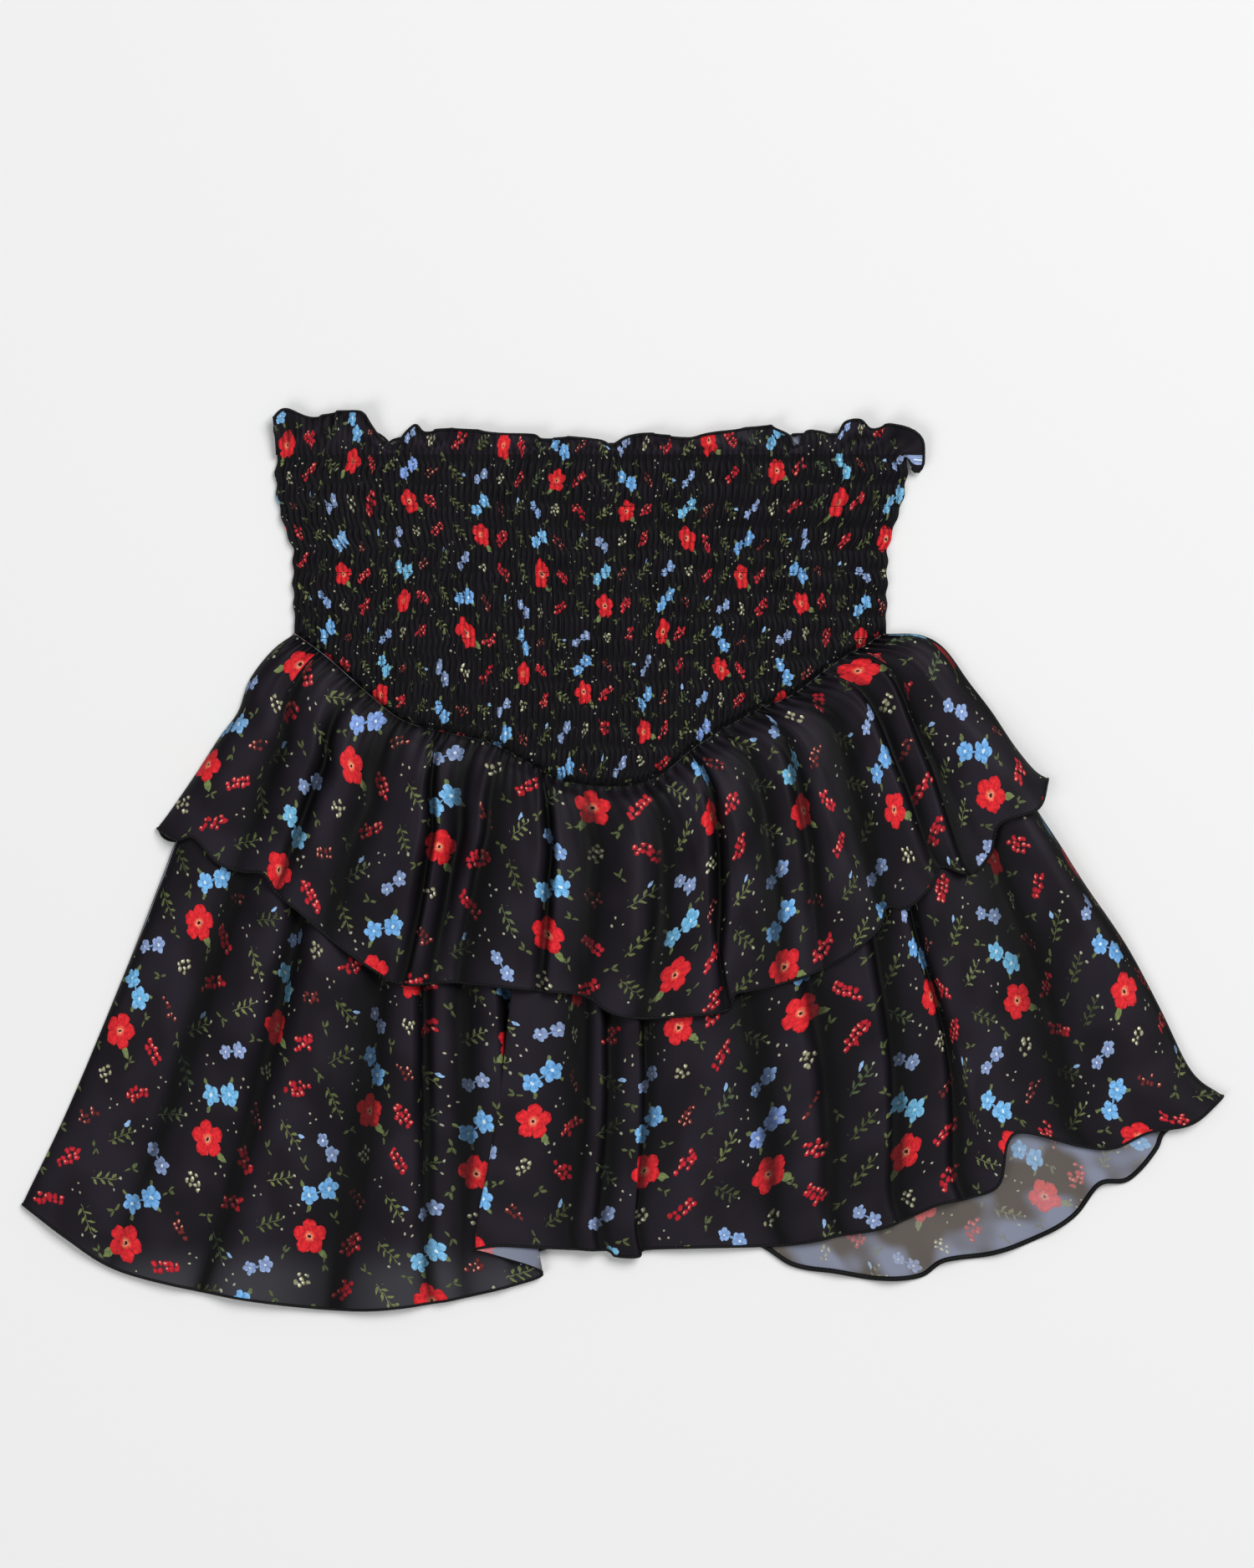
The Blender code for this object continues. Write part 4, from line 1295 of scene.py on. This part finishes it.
def edgeCord(name, line, raised, radius=hemRadius):
    # an overlocked edge along a line of points, raised a little from it or lowered
    return makeCord(name, [line + [0, 0, raised]], radius, thread)


backFlounce = {
    "hem": [
        (-207, 14), (-203, 9), (-188, 5), (-154, -19), (-110, -45), (-54, -53),
        (6, -64), (46, -60), (95, -42), (136, -8), (162, 7), (184, 25), (189, 36),
    ],
    "creases": (0.22, 44, 2.2),  # height, and how many across and down
    "hemRadius": 0.6,
    "hemRaised": 0.6,
    "seed": 5,
    "columns": 260,
    "rows": 50,
    "flatWidth": 0.50,
}

flat, s, down, crease = backPanel(backFlounce, flounceSides)
points = np.concatenate([flat, crease[..., None]], axis=-1)
backFlouncePiece = makeSheet("backFlounce", points, s * backFlounce["flatWidth"],
                             -runLength(flat, 1) * mm, cloth, faceUp=False)
backFlounceHem = edgeCord("backFlounceHem", points[:, -1], backFlounce["hemRaised"],
                          backFlounce["hemRadius"])

backTier = {
    "hem": [
        (-267, -153), (-225, -173), (-180, -181), (-128, -185), (-69, -181),
        (-17, -169), (50, -168), (76, -180), (95, -183), (113, -186), (132, -185),
        (143, -178), (164, -175), (184, -168), (201, -158), (212, -144), (225, -142),
        (237, -129), (241, -121), (253, -113), (267, -105),
    ],
    "stepHeight": 1.5,
    "stepStart": 0.54,
    "stepSpan": 0.08,
    "hemWave": 1.5,
    "hemWaves": 22,
    "hemRadius": 1.1,
    "hemRaised": 0.6,
    "creases": (0.2, 52, 2.0),  # height, and how many across and down
    "printShift": 0.018,
    "seed": 7,
    "columns": 300,
    "rows": 90,
    "flatWidth": 0.64,
}

flat, s, down, crease = backPanel(backTier, tierSides)
step = backTier["stepHeight"] * (1 - ease((down - backTier["stepStart"]) / backTier["stepSpan"]))
# at the lower right the hem is loose and curls
loose = ease((flat[..., 0] - 60) / 40) * ease((down - 0.9) / 0.1)
curl = backTier["hemWave"] * (0.6 + 0.4 * softNoise(s * 33, 0.5, backTier["seed"] + 2))
curl = curl * (1 + np.sin(2 * np.pi * backTier["hemWaves"] * s))
points = np.concatenate([flat, (step + crease + loose * curl)[..., None]], axis=-1)
backTierPiece = makeSheet("backTier", points, s * backTier["flatWidth"],
                          backTier["printShift"] - runLength(flat, 1) * mm, cloth,
                          faceUp=False)
backTierHem = edgeCord("backTierHem", points[:, -1], backTier["hemRaised"],
                       backTier["hemRadius"])

x, y, share, height, u, v, hollowShade = smockedGrid(backYokeSizes)
points = np.stack([x, y, backYokeSizes["depth"] * (1 - height / yoke["relief"])], axis=-1)
backYoke = makeSheet("backYoke", points, u, v, smockedCloth, faceUp=False,
                     thickness=yoke["clothThickness"], hollowShade=hollowShade)

points, u, v, hollowShade = frilledHeading(backHeadingSizes)
backHeading = makeSheet("backHeading", points, u, v, cloth, faceUp=False, hollowShade=hollowShade)
backHeadingEdge = edgeCord("backHeadingEdge", points[:, 0], backHeadingSizes["edgeRaised"],
                           backHeadingSizes["edgeRadius"])
print("back panels made")

x, y, share, height, u, v, hollowShade = smockedGrid(frontYokeSizes)
skin = frontYokeSizes["floor"] + frontYokeSizes["wall"] + height
skin = skin + yokeSwell(x, y, share, frontYokeSizes["seed"])
flat = np.stack([x, y], axis=-1)
skin = rolledSides(skin, flat, frontYokeSizes["sideLow"], frontYokeSizes["sideWidth"])
_, seamY = seamHeight(np.linspace(0, 1, len(y)))
aboveSeam = ease((y - seamY[:, None]) / frontYokeSizes["seamReach"])
skin = frontYokeSizes["seamTop"] + (skin - frontYokeSizes["seamTop"]) * aboveSeam
points = np.concatenate([flat, skin[..., None]], axis=-1)
frontYoke = makeSheet("frontYoke", points, u, v, smockedCloth, hollowShade=hollowShade,
                      thickness=yoke["clothThickness"])
elasticRows = makeCord("elasticRows", elasticLines(), threadRadius, thread, sides=4)

panel = makePanel(seamBelow, longTier["hem"], tierSides["left"], tierSides["right"])
flat, high, u, v, down, hollowShade = gatheredTier(panel, longTier)
lower = ease((down - longTier["dropStart"]) / longTier["dropSpan"])
base = longTier["floor"] - longTier["floorDrop"] * lower
tierPoints = gatheredPoints(flat, high, base, longTier, down)
# painted see-through light: where one layer lies over the white table, at the hem at the lower
# left, it is painted greyer
paintedLightShare = ease((-flat[..., 1] - 168) / 20) * ease((-20 - flat[..., 0]) / 25)
frontTier = makeSheet("frontTier", tierPoints, u, v, cloth, oneLayerPaintedLight=paintedLightShare, hollowShade=hollowShade)
frontTierHem = edgeCord("frontTierHem", tierPoints[:, -1], hemRaised)

panel = makePanel(seamBelow, shortFlounce["hem"], flounceSides["left"], flounceSides["right"])
flat, high, u, v, down, hollowShade = gatheredTier(panel, shortFlounce)
below = heightField(tierPoints, shortFlounce["bareHeight"])
carried = spreadField(below, shortFlounce["reach"])
base = sampleField(carried, flat) + clothThickness + shortFlounce["gap"]
flouncePoints = gatheredPoints(flat, high, base, shortFlounce, down)
frontFlounce = makeSheet("frontFlounce", flouncePoints, u + shortFlounce["printShift"], v,
                         cloth, hollowShade=hollowShade)
frontFlounceHem = edgeCord("frontFlounceHem", flouncePoints[:, -1], hemRaised)

points, u, v, hollowShade = frilledHeading(frontHeadingSizes)
# painted highlight: where the frill turns over itself, a lighter band is painted on
paintedLightShare = 0.55 * np.exp(-((points[..., 0] - 48) / 12) ** 2) * ease((points[..., 1] - 184) / 3)
frontHeading = makeSheet("frontHeading", points, u, v, cloth, oneLayerPaintedLight=paintedLightShare, hollowShade=hollowShade)
frontHeadingEdge = edgeCord("frontHeadingEdge", points[:, 0], hemRaised)
print("front panels made")

finish(backFlouncePiece, ["flounce_back"])
finish(backTierPiece, ["skirt_back"])
finish(backYoke, ["yoke_back"])
finish(backHeading, ["heading_back"])
finish(frontYoke, ["yoke_front"])
finish(frontTier, ["skirt_front"])
finish(frontFlounce, ["flounce_front"])
finish(frontHeading, ["heading_front"])
for trim in (backFlounceHem, backTierHem, backHeadingEdge, frontTierHem, frontFlounceHem,
             frontHeadingEdge):
    finish(trim)
finish(elasticRows)

print("pieces placed")
